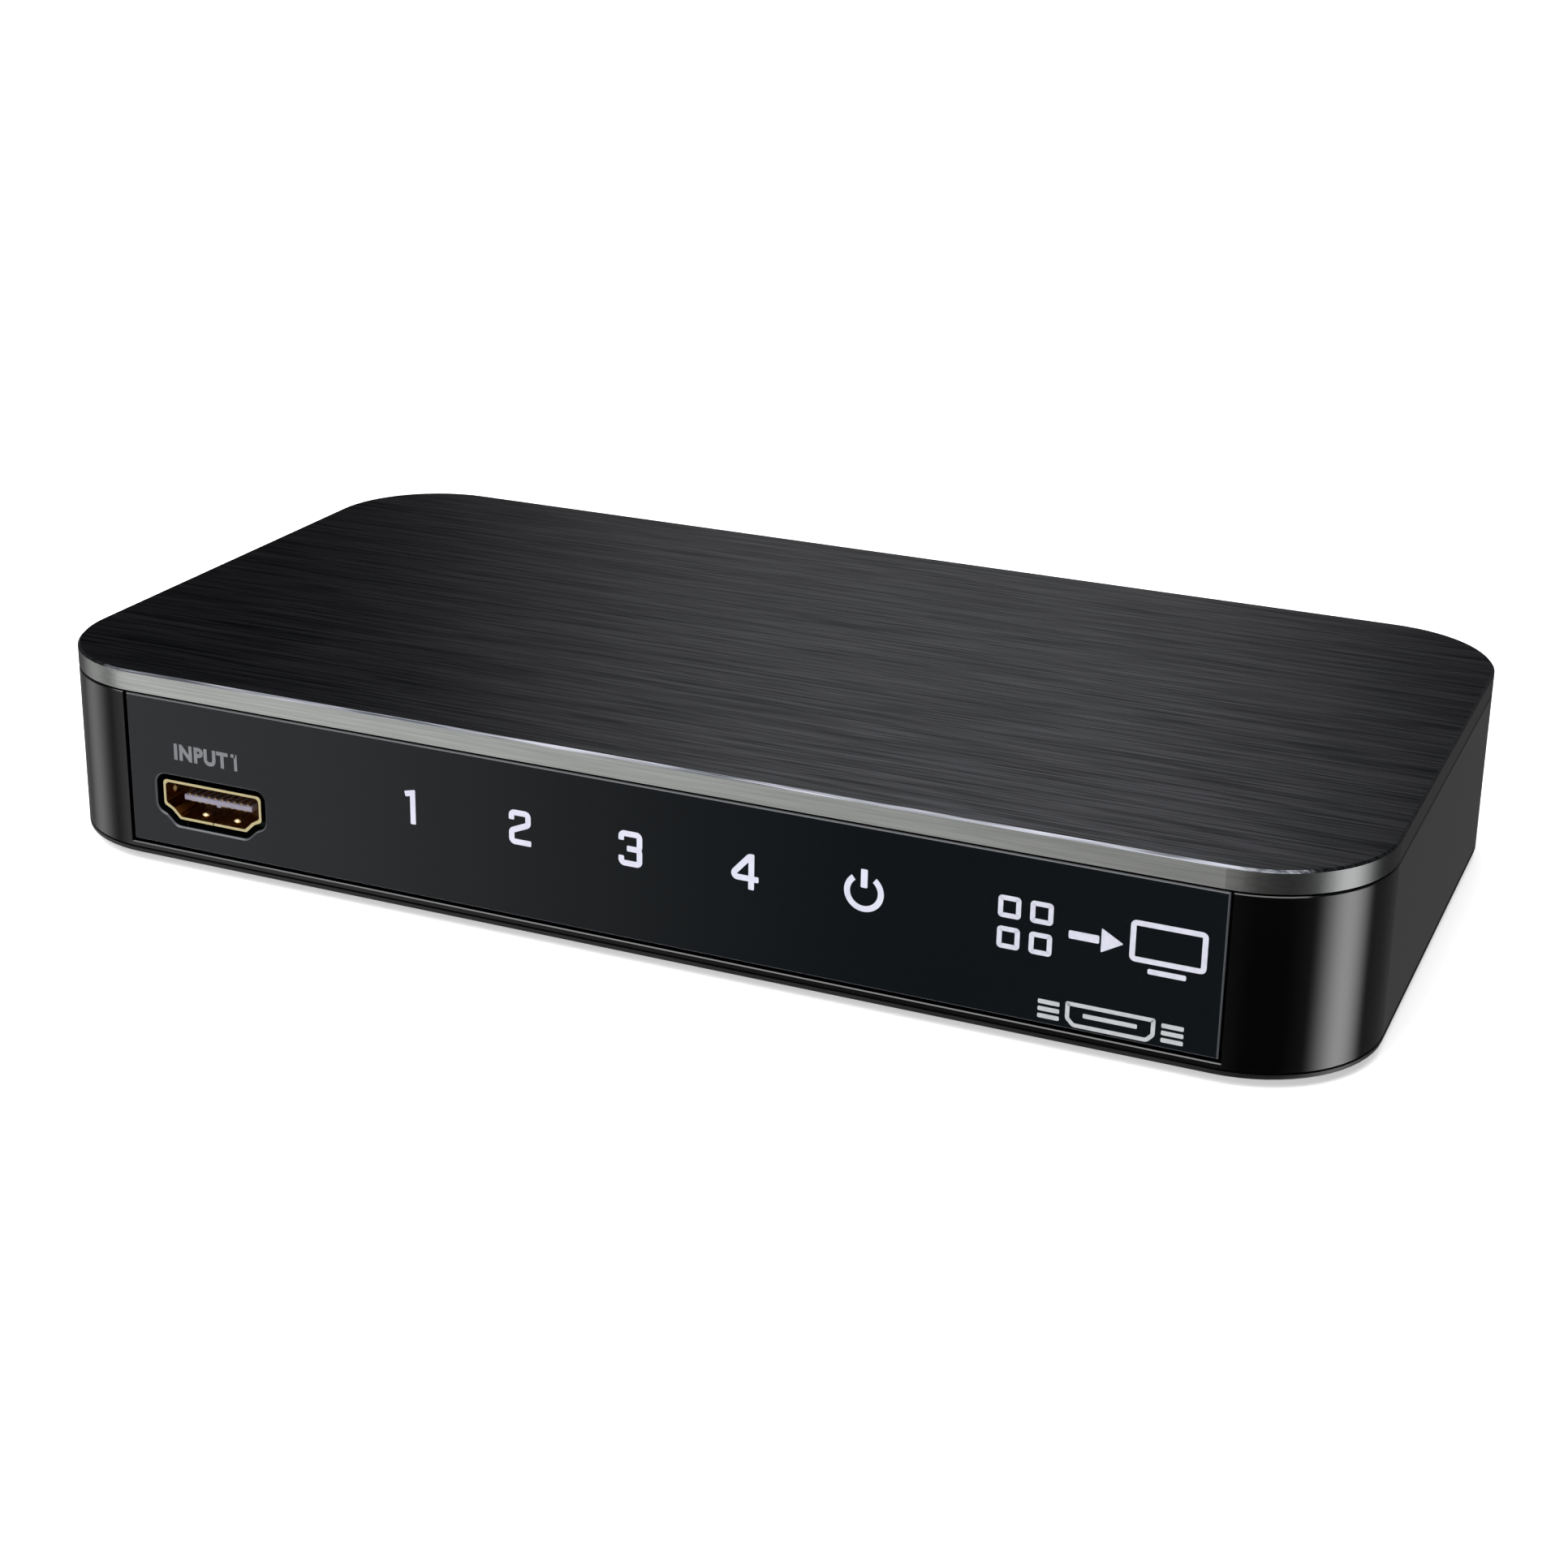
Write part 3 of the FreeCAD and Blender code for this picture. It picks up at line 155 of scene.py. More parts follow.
# %% Scratches
SCRATCH = 0.26
SCRATCH_LENGTH = 60
BAND = 0.55
BAND_LENGTH = 30
BAND_SHARE = 0.38


def scratches(tree, place, width, length, detail, roughness):
    """Noise with features width mm across, drawn out along X to length times that."""
    drawn = add(tree, "ShaderNodeMapping",
                inputs={"Vector": place, "Scale": (1 / length, 1, 1)}).outputs["Vector"]
    return add(tree, "ShaderNodeTexNoise",
               inputs={"Vector": drawn, "Scale": 1 / (width * MM), "Detail": detail,
                       "Roughness": roughness}).outputs["Fac"]


def brushed_grain(tree, place):
    """Fine scratches with broader bands among them."""
    fine = scratches(tree, place, SCRATCH, SCRATCH_LENGTH, 2.0, 0.6)
    bands = scratches(tree, place, BAND, BAND_LENGTH, 3.0, 0.55)
    return add(tree, "ShaderNodeMix", {"data_type": "FLOAT"},
               {FACTOR: BAND_SHARE, NUMBER_A: fine, NUMBER_B: bands}).outputs[NUMBER_OUT]


print("scratches", SCRATCH, "mm across and", round(SCRATCH * SCRATCH_LENGTH), "mm long")

# %% [markdown]
# ## The face and rim of the plate
# The rim of the plate is a lighter silver than its face: partly a brighter polished edge, and partly
# a painted reflection of the bright studio in front. Round the short sides the rim is darker, which is
# painted shade. Each region could be a material of its own, but the direction that the surface looks
# in tells them apart, so one material covers them all. Its tangent runs across the scratches, which
# is the way that a highlight spreads. The tangent is square to the grain and to the surface, and the
# grain is turned a hair off X, because a tangent cannot be worked out where the rim looks straight
# along the grain.

# %% Brushed aluminium
SCRATCH_DEPTH = 0.02
GRAIN_DIRECTION = (1.0, 0.05, 0.0)


def brushed_aluminium():
    material, tree, place = start("anodised_aluminium_brushed")
    grain = brushed_grain(tree, place)
    tone = add(tree, "ShaderNodeMapRange",
               inputs={"Value": grain, "From Min": 0.40, "From Max": 0.60}).outputs["Result"]
    normal = add(tree, "ShaderNodeNewGeometry").outputs["Normal"]
    height = add(tree, "ShaderNodeSeparateXYZ", inputs={"Vector": normal}).outputs["Z"]
    upward = add(tree, "ShaderNodeMapRange",
                 inputs={"Value": height, "From Min": 0.45, "From Max": 0.65}).outputs["Result"]
    # Painted shade: the rim is darker where it faces along X, round the short sides.
    short_side_shade = add(tree, "ShaderNodeMapRange",
                    inputs={"Value": facing(tree, "X"), "From Min": 0.1, "From Max": 0.6}).outputs["Result"]
    # The light rim colour is partly a polished edge and partly a painted reflection.
    long_edge = add(tree, "ShaderNodeMix", {"data_type": "RGBA"},
                    {FACTOR: tone, COLOUR_A: paint("#a9aba8"),
                     COLOUR_B: paint("#bbbdba")}).outputs[COLOUR_OUT]
    rim = add(tree, "ShaderNodeMix", {"data_type": "RGBA"},
              {FACTOR: short_side_shade, COLOUR_A: long_edge, COLOUR_B: paint("#6c6e6d")}).outputs[COLOUR_OUT]
    face = add(tree, "ShaderNodeMix", {"data_type": "RGBA"},
               {FACTOR: tone, COLOUR_A: paint("#2e3034"), COLOUR_B: paint("#6c6d73")}).outputs[COLOUR_OUT]
    colour = add(tree, "ShaderNodeMix", {"data_type": "RGBA"},
                 {FACTOR: upward, COLOUR_A: rim, COLOUR_B: face}).outputs[COLOUR_OUT]
    roughness = add(tree, "ShaderNodeMapRange",
                    inputs={"Value": upward, "To Min": 0.36, "To Max": 0.20}).outputs["Result"]
    across = add(tree, "ShaderNodeVectorMath", {"operation": "CROSS_PRODUCT"},
                 {0: normal, 1: GRAIN_DIRECTION}).outputs["Vector"]
    relief = add(tree, "ShaderNodeBump",
                 inputs={"Height": grain, "Distance": SCRATCH_DEPTH * MM,
                         "Strength": 0.6}).outputs["Normal"]
    end(tree, {"Base Color": colour, "Metallic": 1.0, "Roughness": roughness, "Anisotropic": 0.8,
               "Tangent": across, "Normal": relief})
    return material


give(brushed_aluminium(), "top_plate")

# %% [markdown]
# ## Moulded and pressed finishes
# Most of the other parts have one colour that drifts a little from place to place, and a fine
# texture that the tool or the process left. The drift is soft noise several millimetres across that
# mixes two near colours and two near values of roughness. The texture is finer noise that raises the
# surface by a few thousandths to a few hundredths of a millimetre. Each finish could be a tree of its
# own, but they differ only in their numbers, so one function makes them all from real sizes, and
# each part below calls it with its own.


# %% A two-tone finish with a texture
def moulded(name, colours, roughness, drift, grain, relief, sockets):
    """Two near colours mixed in patches drift mm across, over a texture grain mm fine, relief mm high."""
    material, tree, place = start(name)
    patches = add(tree, "ShaderNodeTexNoise",
                  inputs={"Vector": place, "Scale": 1 / (drift * MM), "Detail": 3.0}).outputs["Fac"]
    tone = add(tree, "ShaderNodeMapRange",
               inputs={"Value": patches, "From Min": 0.3, "From Max": 0.7}).outputs["Result"]
    colour = add(tree, "ShaderNodeMix", {"data_type": "RGBA"},
                 {FACTOR: tone, COLOUR_A: paint(colours[0]),
                  COLOUR_B: paint(colours[1])}).outputs[COLOUR_OUT]
    gloss = add(tree, "ShaderNodeMapRange",
                inputs={"Value": patches, "From Min": 0.3, "From Max": 0.7, "To Min": roughness * 0.9,
                        "To Max": roughness * 1.1}).outputs["Result"]
    texture = add(tree, "ShaderNodeTexNoise",
                  inputs={"Vector": place, "Scale": 1 / (grain * MM), "Detail": 2.0}).outputs["Fac"]
    raised = add(tree, "ShaderNodeBump",
                 inputs={"Height": texture, "Distance": relief * MM}).outputs["Normal"]
    end(tree, {"Base Color": colour, "Roughness": gloss, "Normal": raised, **sockets})
    return material


PLASTIC = {"IOR": 1.53}
METAL = {"Metallic": 1.0}
print("moulded finish ready")

# %% [markdown]
# ## Gloss black ABS
# The case is injection moulded in ABS, in a tool that is polished but not mirror-bright. It gives
# broad soft reflections round the corners, with a faint waviness where the plastic shrank.

# %% Case
give(moulded("abs_polished_black", ("#020203", "#040405"), 0.11, 20.0, 5.0, 0.002, PLASTIC),
     "upper_case")

# %% [markdown]
# ## Grained black ABS
# The base and the rear panel come from tools with a spark-eroded texture, a fine even grain that
# kills reflections and hides handling marks.

# %% Base and rear panel
give(moulded("abs_spark_grain_black", ("#0b0c0d", "#0f1011"), 0.50, 12.0, 0.25, 0.010, PLASTIC),
     "base_cover")
give(moulded("abs_fine_matt_black", ("#101113", "#15161a"), 0.42, 15.0, 0.22, 0.012, PLASTIC),
     "rear_panel")

# %% [markdown]
# ## Smoked acrylic
# The front panel is cut from cast acrylic sheet, tinted nearly black right through. Its face is as
# flat as glass, so it mirrors the studio sharply, and that mirrored glow is most of what the eye sees.
# It could let light through like real acrylic, but the tint hides all that lies behind it, so a dark
# opaque surface with the same gloss looks the same and renders faster. The edges are chamfered by a
# router, which leaves them satin and lighter: a surface is a chamfer when it looks out at about 45
# degrees.

# %% Front panel
CHAMFER_FACING = math.cos(math.radians(45))
CHAMFER_BAND = 0.1
PANEL_CLOUD = 25
PANEL_WAVE = 20
PANEL_RELIEF = 0.001


def smoked_acrylic():
    material, tree, place = start("acrylic_cast_smoked")
    chamfer = add(tree, "ShaderNodeMath", {"operation": "COMPARE"},
                  {0: facing(tree, "Y"), 1: CHAMFER_FACING, 2: CHAMFER_BAND}).outputs["Value"]
    depth = add(tree, "ShaderNodeTexNoise",
                inputs={"Vector": place, "Scale": 1 / (PANEL_CLOUD * MM), "Detail": 3.0}).outputs["Fac"]
    tint = add(tree, "ShaderNodeMix", {"data_type": "RGBA"},
               {FACTOR: depth, COLOUR_A: paint("#04070a"), COLOUR_B: paint("#060a0d")}).outputs[COLOUR_OUT]
    colour = add(tree, "ShaderNodeMix", {"data_type": "RGBA"},
                 {FACTOR: chamfer, COLOUR_A: tint, COLOUR_B: paint("#46484c")}).outputs[COLOUR_OUT]
    gloss = add(tree, "ShaderNodeMapRange",
                inputs={"Value": chamfer, "To Min": 0.035, "To Max": 0.35}).outputs["Result"]
    wavy = add(tree, "ShaderNodeTexNoise",
               inputs={"Vector": place, "Scale": 1 / (PANEL_WAVE * MM)}).outputs["Fac"]
    flat = add(tree, "ShaderNodeBump",
               inputs={"Height": wavy, "Distance": PANEL_RELIEF * MM}).outputs["Normal"]
    end(tree, {"Base Color": colour, "Roughness": gloss, "IOR": 1.49, "Normal": flat})
    return material


give(smoked_acrylic(), "front_panel")

# %% [markdown]
# ## Diffusing polycarbonate
# The numerals and the power symbol are white polycarbonate, set flush in the panel and lit from
# behind by small lamps. The lamps could really light them, but that takes many samples to render
# cleanly, so the plastic gives off the same faint light itself, with a slight unevenness.

# %% Icons
give(moulded("polycarbonate_diffusing_white", ("#adadbc", "#b8b8c6"), 0.35, 2.0, 0.5, 0.002,
             {"IOR": 1.58, "Emission Color": paint("#dcdcee"), "Emission Strength": 0.1}),
     *[name for name in NODES if name.startswith("icon_")])

# %% [markdown]
# ## Gold plate, contacts and tongue
# A socket is folded from thin brass sheet and plated with pale gold. What faces out, the lip and the
# fronts of the domed springs, is pale and bright: partly gold burnished by plugs, and partly a painted
# highlight. The inside is painted deep amber, which stands for shade and for light that bounces from
# gold to gold. Such a bounce could be left to the renderer, but in so narrow a mouth it comes out dark
# and grainy, so the two tones are mixed by the direction that the surface faces. The contacts have
# harder, redder gold. The tongue between them is moulded in pale grey nylon.

# %% Sockets
GOLD_CLOUD = 0.8
GOLD_RELIEF = 0.01


def gold_plate():
    """Pale where the surface faces out, partly as painted highlight; amber inside, as painted shade."""
    material, tree, place = start("gold_plate_on_brass")
    # Painted highlight, partly real burnish: faces that look out of the socket are pale.
    pale = add(tree, "ShaderNodeMapRange", {"interpolation_type": "SMOOTHSTEP"},
               {"Value": facing(tree, "Y"), "From Min": 0.1, "From Max": 0.5}).outputs["Result"]
    cloud = add(tree, "ShaderNodeTexNoise",
                inputs={"Vector": place, "Scale": 1 / (GOLD_CLOUD * MM), "Detail": 3.0}).outputs["Fac"]
    # Painted shade and bounced light: the deep amber inside the socket.
    inside = add(tree, "ShaderNodeMix", {"data_type": "RGBA"},
                 {FACTOR: cloud, COLOUR_A: paint("#9c6018"),
                  COLOUR_B: paint("#e8ac50")}).outputs[COLOUR_OUT]
    colour = add(tree, "ShaderNodeMix", {"data_type": "RGBA"},
                 {FACTOR: pale, COLOUR_A: inside, COLOUR_B: paint("#fff0bd")}).outputs[COLOUR_OUT]
    gloss = add(tree, "ShaderNodeMapRange",
                inputs={"Value": pale, "To Min": 0.16, "To Max": 0.50}).outputs["Result"]
    wavy = add(tree, "ShaderNodeBump",
               inputs={"Height": cloud, "Distance": GOLD_RELIEF * MM}).outputs["Normal"]
    end(tree, {"Base Color": colour, "Metallic": 1.0, "Roughness": gloss, "Normal": wavy})
    return material


give(gold_plate(), *nodes_ending("_shell"))
give(moulded("gold_plate_contact", ("#e2b76a", "#eec787"), 0.25, 0.5, 0.2, 0.002, METAL),
     *nodes_ending("_contacts"))
give(moulded("nylon_moulded_grey", ("#7f7b8b", "#8d8999"), 0.40, 2.5, 0.3, 0.006, PLASTIC),
     *nodes_ending("_insulator"))

# %% [markdown]
# ## Power jack, screws and other plated metal
# The jack is black nylon with a nickel-plated pin and spring. Nickel looks slightly warm beside the
# cold blue-grey of the zinc on the screws, where the plating bath leaves a faint cloudiness.

# %% Jack and screws
give(moulded("nylon_glass_filled_black", ("#0b0b0c", "#111112"), 0.38, 3.0, 0.3, 0.010, PLASTIC),
     "dc_jack_housing")
give(moulded("nickel_plate", ("#bdbab2", "#d0cdc6"), 0.24, 0.8, 0.3, 0.002, METAL),
     "dc_jack_pin", "dc_jack_spring")
give(moulded("zinc_plate_on_steel", ("#85898f", "#9ea2a8"), 0.34, 0.7, 0.25, 0.004, METAL),
     "case_screws", "board_screws")

# %% [markdown]
# ## Rubber feet and blank label
# The feet are die-cut from grained nitrile rubber sheet, which is matt and a little dusty. The label
# is satin silver polyester film. It carries no words: only the film's fine metallic speckle.

# %% Feet and label
give(moulded("rubber_nitrile_matt", ("#141415", "#1d1d1e"), 0.78, 2.2, 0.35, 0.030, {"IOR": 1.52}),
     *[name for name in NODES if name.startswith("foot_")])
give(moulded("polyester_film_silver", ("#9b9da0", "#a9abae"), 0.38, 0.5, 0.12, 0.002, {"Metallic": 0.7}),
     "rating_label")

# %% [markdown]
# ## Circuit boards
# A board is woven glass cloth in epoxy under green solder mask. The weave shows faintly through the
# mask as a fine grid, so two sine waves at right angles are added: glass yarns lie about half a
# millimetre apart. Copper under the mask shows as lighter patches with square corners, which a cell
# pattern that measures distance along the axes suggests. Real tracks could be drawn one by one, but
# the boards lie inside a closed box.

# %% Boards
YARN = 0.5
YARN_RELIEF = 0.004
TRACK = 1.3


def solder_mask():
    material, tree, place = start("solder_mask_green")
    axes = add(tree, "ShaderNodeSeparateXYZ", inputs={"Vector": place}).outputs
    waves = []
    for axis in ("X", "Y"):
        turns = add(tree, "ShaderNodeMath", {"operation": "MULTIPLY"},
                    {0: axes[axis], 1: 2 * math.pi / (YARN * MM)}).outputs["Value"]
        waves.append(add(tree, "ShaderNodeMath", {"operation": "SINE"}, {0: turns}).outputs["Value"])
    weave = add(tree, "ShaderNodeMath", {"operation": "ADD"}, {0: waves[0], 1: waves[1]}).outputs["Value"]
    tracks = add(tree, "ShaderNodeTexVoronoi", {"distance": "CHEBYCHEV"},
                 {"Vector": place, "Scale": 1 / (TRACK * MM)}).outputs["Color"]
    copper = add(tree, "ShaderNodeSeparateColor", inputs={"Color": tracks}).outputs["Red"]
    over_copper = add(tree, "ShaderNodeMapRange",
                      inputs={"Value": copper, "From Min": 0.55, "From Max": 0.6}).outputs["Result"]
    colour = add(tree, "ShaderNodeMix", {"data_type": "RGBA"},
                 {FACTOR: over_copper, COLOUR_A: paint("#0c3a22"),
                  COLOUR_B: paint("#14552f")}).outputs[COLOUR_OUT]
    raised = add(tree, "ShaderNodeBump",
                 inputs={"Height": weave, "Distance": YARN_RELIEF * MM,
                         "Strength": 0.5}).outputs["Normal"]
    end(tree, {"Base Color": colour, "Roughness": 0.30, "IOR": 1.55, "Normal": raised})
    return material


give(solder_mask(), "main_board", "touch_board")

# %% [markdown]
# ## Parts on the boards
# Chips are moulded in black epoxy with silica in it, which sparkles faintly. The coil's core is
# ferrite, ground to a dull charcoal. Ceramic capacitors are fired tan blocks, resistors carry dark
# glaze, and the cans of the larger capacitors and the crystal are drawn from aluminium and nickel
# silver. The heat sink is extruded aluminium with a natural anodised coat.

# %% Components
give(moulded("epoxy_moulded_black", ("#151516", "#1d1d1f"), 0.55, 1.5, 0.15, 0.006, {"IOR": 1.58}),
     "switch_chip", "controller_chip", "regulator_chip", "surge_arrays")
give(moulded("ferrite_ground", ("#232426", "#313235"), 0.60, 1.0, 0.20, 0.008, {"IOR": 1.60}),
     "power_inductor")
give(moulded("ceramic_fired_tan", ("#8b6a45", "#a17e55"), 0.45, 0.4, 0.12, 0.003, {"IOR": 1.60}),
     "ceramic_capacitors")
give(moulded("resistor_glaze_dark", ("#101218", "#1a1d25"), 0.25, 0.5, 0.15, 0.002, {"IOR": 1.55}),
     "resistors")
give(moulded("aluminium_drawn_can", ("#a8aaad", "#bfc1c4"), 0.30, 1.2, 0.25, 0.003, METAL),
     "electrolytic_capacitors", "crystal")
give(moulded("aluminium_extruded_anodised", ("#8e9194", "#a6a9ac"), 0.42, 3.0, 0.25, 0.006, METAL),
     "heat_sink")

# %% [markdown]
# ## Soft and clear inner parts
# The tapes are black acrylic foam, the rings behind the icons are foam wrapped in silver-plated
# cloth, and the pad under the heat sink is filled silicone, slightly tacky. The light guides and the
# lamps are clear plastic, where most light passes through, and the ribbon is polyester film over
# flat copper strips. Its two sockets are cream nylon. The remote control receiver is cast in epoxy
# that looks black but lets infrared through.

# %% Tapes, foam, clear parts, ribbon
give(moulded("foam_tape_black", ("#17181a", "#222326"), 0.85, 0.8, 0.20, 0.030, {"IOR": 1.48}),
     "top_adhesive", "front_adhesive", "rear_adhesive")
give(moulded("foam_silver_cloth", ("#8f9092", "#b4b5b8"), 0.50, 0.5, 0.18, 0.020, {"Metallic": 0.8}),
     "touch_rings")
give(moulded("silicone_filled_blue_grey", ("#6d7f93", "#7f90a3"), 0.65, 1.5, 0.30, 0.010, {"IOR": 1.43}),
     "thermal_pad")
give(moulded("acrylic_clear", ("#eef2f4", "#f6f9fa"), 0.06, 3.0, 2.0, 0.002,
             {"IOR": 1.49, "Transmission Weight": 0.95}), "light_guides")
give(moulded("epoxy_clear_lamp", ("#e9e8da", "#f2f1e6"), 0.12, 1.0, 0.5, 0.002,
             {"IOR": 1.55, "Transmission Weight": 0.6}), "status_leds")
give(moulded("epoxy_infrared_dark", ("#0e0a10", "#161019"), 0.10, 1.0, 0.5, 0.002, {"IOR": 1.55}),
     "infrared_receiver")
give(moulded("polyester_ribbon_white", ("#c9ccd0", "#d9dce0"), 0.35, 1.0, 0.25, 0.004, {"IOR": 1.60}),
     "ribbon_cable")
give(moulded("nylon_moulded_cream", ("#d6d0bd", "#e2dccb"), 0.45, 1.5, 0.25, 0.006, PLASTIC),
     "touch_ribbon_socket", "main_ribbon_socket")
print("nodes without a finish:", sorted(set(NODES) - FINISHED))

# %% [markdown]
# ## Printing
# Words and symbols are screen printed in epoxy ink, a layer a few hundredths of a millimetre thick
# that stands just proud of the panel. Each mark is a thin closed solid of its own. A word starts as
# a text object, which is made a mesh before it is turned to face the viewer. A symbol starts as a
# plane, whose corners are rounded and whose middle may be cut out, and it is then thickened. The
# symbols are plain ones that mean the same everywhere: four sources that lead to one screen.

# %% Print sizes and ink
FRONT_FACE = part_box("front_panel")[0][1]
REAR_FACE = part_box("rear_panel")[1][1]
INK_PROUD = 0.03 * MM
INK_SUNK = 0.02 * MM
INK_THICK = INK_PROUD + INK_SUNK
WHITE_INK = moulded("epoxy_ink_white", ("#aeaebb", "#b9b9c5"), 0.50, 0.8, 0.12, 0.002, PLASTIC)
GREY_INK = moulded("epoxy_ink_grey", ("#626367", "#6e6f73"), 0.55, 0.8, 0.12, 0.002, PLASTIC)
SILVER_INK = moulded("epoxy_ink_silver", ("#9c9ea0", "#a8aaac"), 0.45, 0.8, 0.12, 0.002, PLASTIC)
print("panel faces at y", FRONT_FACE, REAR_FACE)

# %% [markdown]
# ## Putting a mark on a panel
# A mark is made lying flat at the origin, which is the easiest place to build and centre it. It is
# then stood up, turned round if it belongs on the rear, and moved to its panel. The turn is applied
# to the mesh, so the finished mark sits at the origin like every other piece.


# %% Place a flat mark on a face
def lay(piece, x, z, rear=False):
    """Stand a mark that was made flat in XY up on the front or the rear face, centred at x and z."""
    upright = Matrix.Rotation(math.pi / 2, 4, "X")
    turned = Matrix.Rotation(math.pi, 4, "Z") @ upright if rear else upright
    y = REAR_FACE - INK_SUNK if rear else FRONT_FACE + INK_SUNK
    piece.matrix_world = Matrix.Translation((x, y, z)) @ turned
    bpy.ops.object.select_all(action="DESELECT")
    piece.select_set(True)
    bpy.context.view_layer.objects.active = piece
    bpy.ops.object.transform_apply(location=True, rotation=True, scale=True)


def ink(piece, material):
    """Give a mark its ink, and let it ride on the body."""
    piece.data.materials.clear()
    piece.data.materials.append(material)
    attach(piece, "root")
    print(piece.name, "faces", len(piece.data.polygons))


print("ink stands", round(INK_PROUD / MM, 3), "mm proud")

# %% [markdown]
# ## A printed word
# A text object gives clean letter outlines that are already a closed solid once they are extruded.
# It becomes a mesh, is scaled so that the word has exactly the width and height that are wanted, and
# its doubled corners are welded.

# %% A printed word
LETTER_SPACE = 1.12
WELD = 0.001


def word(name, letters, width, height, weight):
    """Letters as a thin solid, centred, width by height in mm. Weight fattens the strokes."""
    bpy.ops.object.select_all(action="DESELECT")
    bpy.ops.object.text_add()
    piece = bpy.context.object
    piece.name = name
    piece.data.body = letters
    piece.data.offset = weight
    piece.data.space_character = LETTER_SPACE
    piece.data.extrude = 0.5
    bpy.ops.object.convert(target="MESH")
    piece = bpy.context.object
    low = [min(v.co[i] for v in piece.data.vertices) for i in range(3)]
    high = [max(v.co[i] for v in piece.data.vertices) for i in range(3)]
    size = (width * MM, height * MM, INK_THICK)
    fit = Matrix.Diagonal([size[i] / (high[i] - low[i]) for i in range(3)] + [1.0])
    centre = Vector(((low[0] + high[0]) / 2, (low[1] + high[1]) / 2, low[2]))
    piece.matrix_world = fit @ Matrix.Translation(-centre)
    bpy.ops.object.transform_apply(location=True, rotation=True, scale=True)
    bpy.ops.object.mode_set(mode="EDIT")
    bpy.ops.mesh.select_all(action="SELECT")
    bpy.ops.mesh.remove_doubles(threshold=WELD * MM)
    bpy.ops.mesh.normals_make_consistent(inside=False)
    bpy.ops.object.mode_set(mode="OBJECT")
    return piece


print("word helper ready")

# %% [markdown]
# ## A printed tile or frame
# A symbol starts as a plane. Its corners are rounded by a bevel of its vertices, and an inset whose
# inner face is deleted makes it a frame. Extruding comes last, so that all of this happens in two
# dimensions. A boolean cut could make the frame too, but an inset keeps the line equally wide.


# %% Tile and frame
def thicken():
    """In edit mode, give the flat shape its ink thickness and close it."""
    bpy.ops.mesh.select_all(action="SELECT")
    bpy.ops.mesh.extrude_region_move(TRANSFORM_OT_translate={"value": (0, 0, INK_THICK)})
    bpy.ops.mesh.select_all(action="SELECT")
    bpy.ops.mesh.normals_make_consistent(inside=False)
    bpy.ops.object.mode_set(mode="OBJECT")


def tile(width, height, radius, line=None, chamfer=None):
    """A tile in mm with round corners. A line width makes it a frame; chamfer cuts its lower corners."""
    bpy.ops.object.select_all(action="DESELECT")
    bpy.ops.mesh.primitive_plane_add(size=1.0)
    piece = bpy.context.object
    piece.data.transform(Matrix.Diagonal((width * MM, height * MM, 1.0, 1.0)))
    bpy.ops.object.mode_set(mode="EDIT")
    if chamfer:
        bpy.ops.mesh.select_all(action="DESELECT")
        bpy.ops.object.mode_set(mode="OBJECT")
        for vertex in piece.data.vertices:
            vertex.select = vertex.co.y < 0
        bpy.ops.object.mode_set(mode="EDIT")
        bpy.ops.mesh.bevel(offset=chamfer * MM, segments=1, affect="VERTICES")
        bpy.ops.mesh.select_all(action="SELECT")
    bpy.ops.mesh.bevel(offset=radius * MM, segments=5, affect="VERTICES")
    bpy.ops.mesh.select_all(action="SELECT")
    if line:
        bpy.ops.mesh.inset(thickness=line * MM)
        bpy.ops.mesh.delete(type="FACE")
    thicken()
    return piece


print("tile helper ready")

# %% [markdown]
# ## An arrow head
# A circle with three corners is a triangle with its first corner at the top, so a quarter turn
# points it to the right. Its corners are eased a little, as ink rounds them.

# %% Arrow head
CORNER_EASE = 0.15


def arrow_head(length):
    """A triangle that points to the right, length mm long."""
    bpy.ops.object.select_all(action="DESELECT")
    bpy.ops.mesh.primitive_circle_add(vertices=3, radius=length * MM * 2 / 3, fill_type="NGON")
    piece = bpy.context.object
    piece.data.transform(Matrix.Rotation(-math.pi / 2, 4, "Z"))
    bpy.ops.object.mode_set(mode="EDIT")
    bpy.ops.mesh.select_all(action="SELECT")
    bpy.ops.mesh.bevel(offset=CORNER_EASE * MM, segments=3, affect="VERTICES")
    thicken()
    return piece


print("arrow helper ready")

# %% [markdown]
# ## Joining marks into one symbol
# A symbol is printed in one pass, so its tiles become one piece. Each is first moved to its place in
# the symbol, and the whole is then put on the panel.


# %% Join marks
def symbol(name, marks, x, z, material, rear=False):
    """Join marks, each with its offset in mm, into one piece, and place it."""
    for mark, across, up in marks:
        mark.data.transform(Matrix.Translation((across * MM, up * MM, 0)))
    bpy.ops.object.select_all(action="DESELECT")
    for mark, *_ in marks:
        mark.select_set(True)
    piece = marks[0][0]
    bpy.context.view_layer.objects.active = piece
    bpy.ops.object.join()
    piece.name = name
    lay(piece, x, z, rear)
    ink(piece, material)


print("symbol helper ready")

# %% [markdown]
# ## The legend over the front socket
# The word is letters, and the numeral beside it is narrower than any letter, so it is drawn as two
# tiles: a stem and a short flag at its top. Offsets inside a symbol are in mm from its middle.

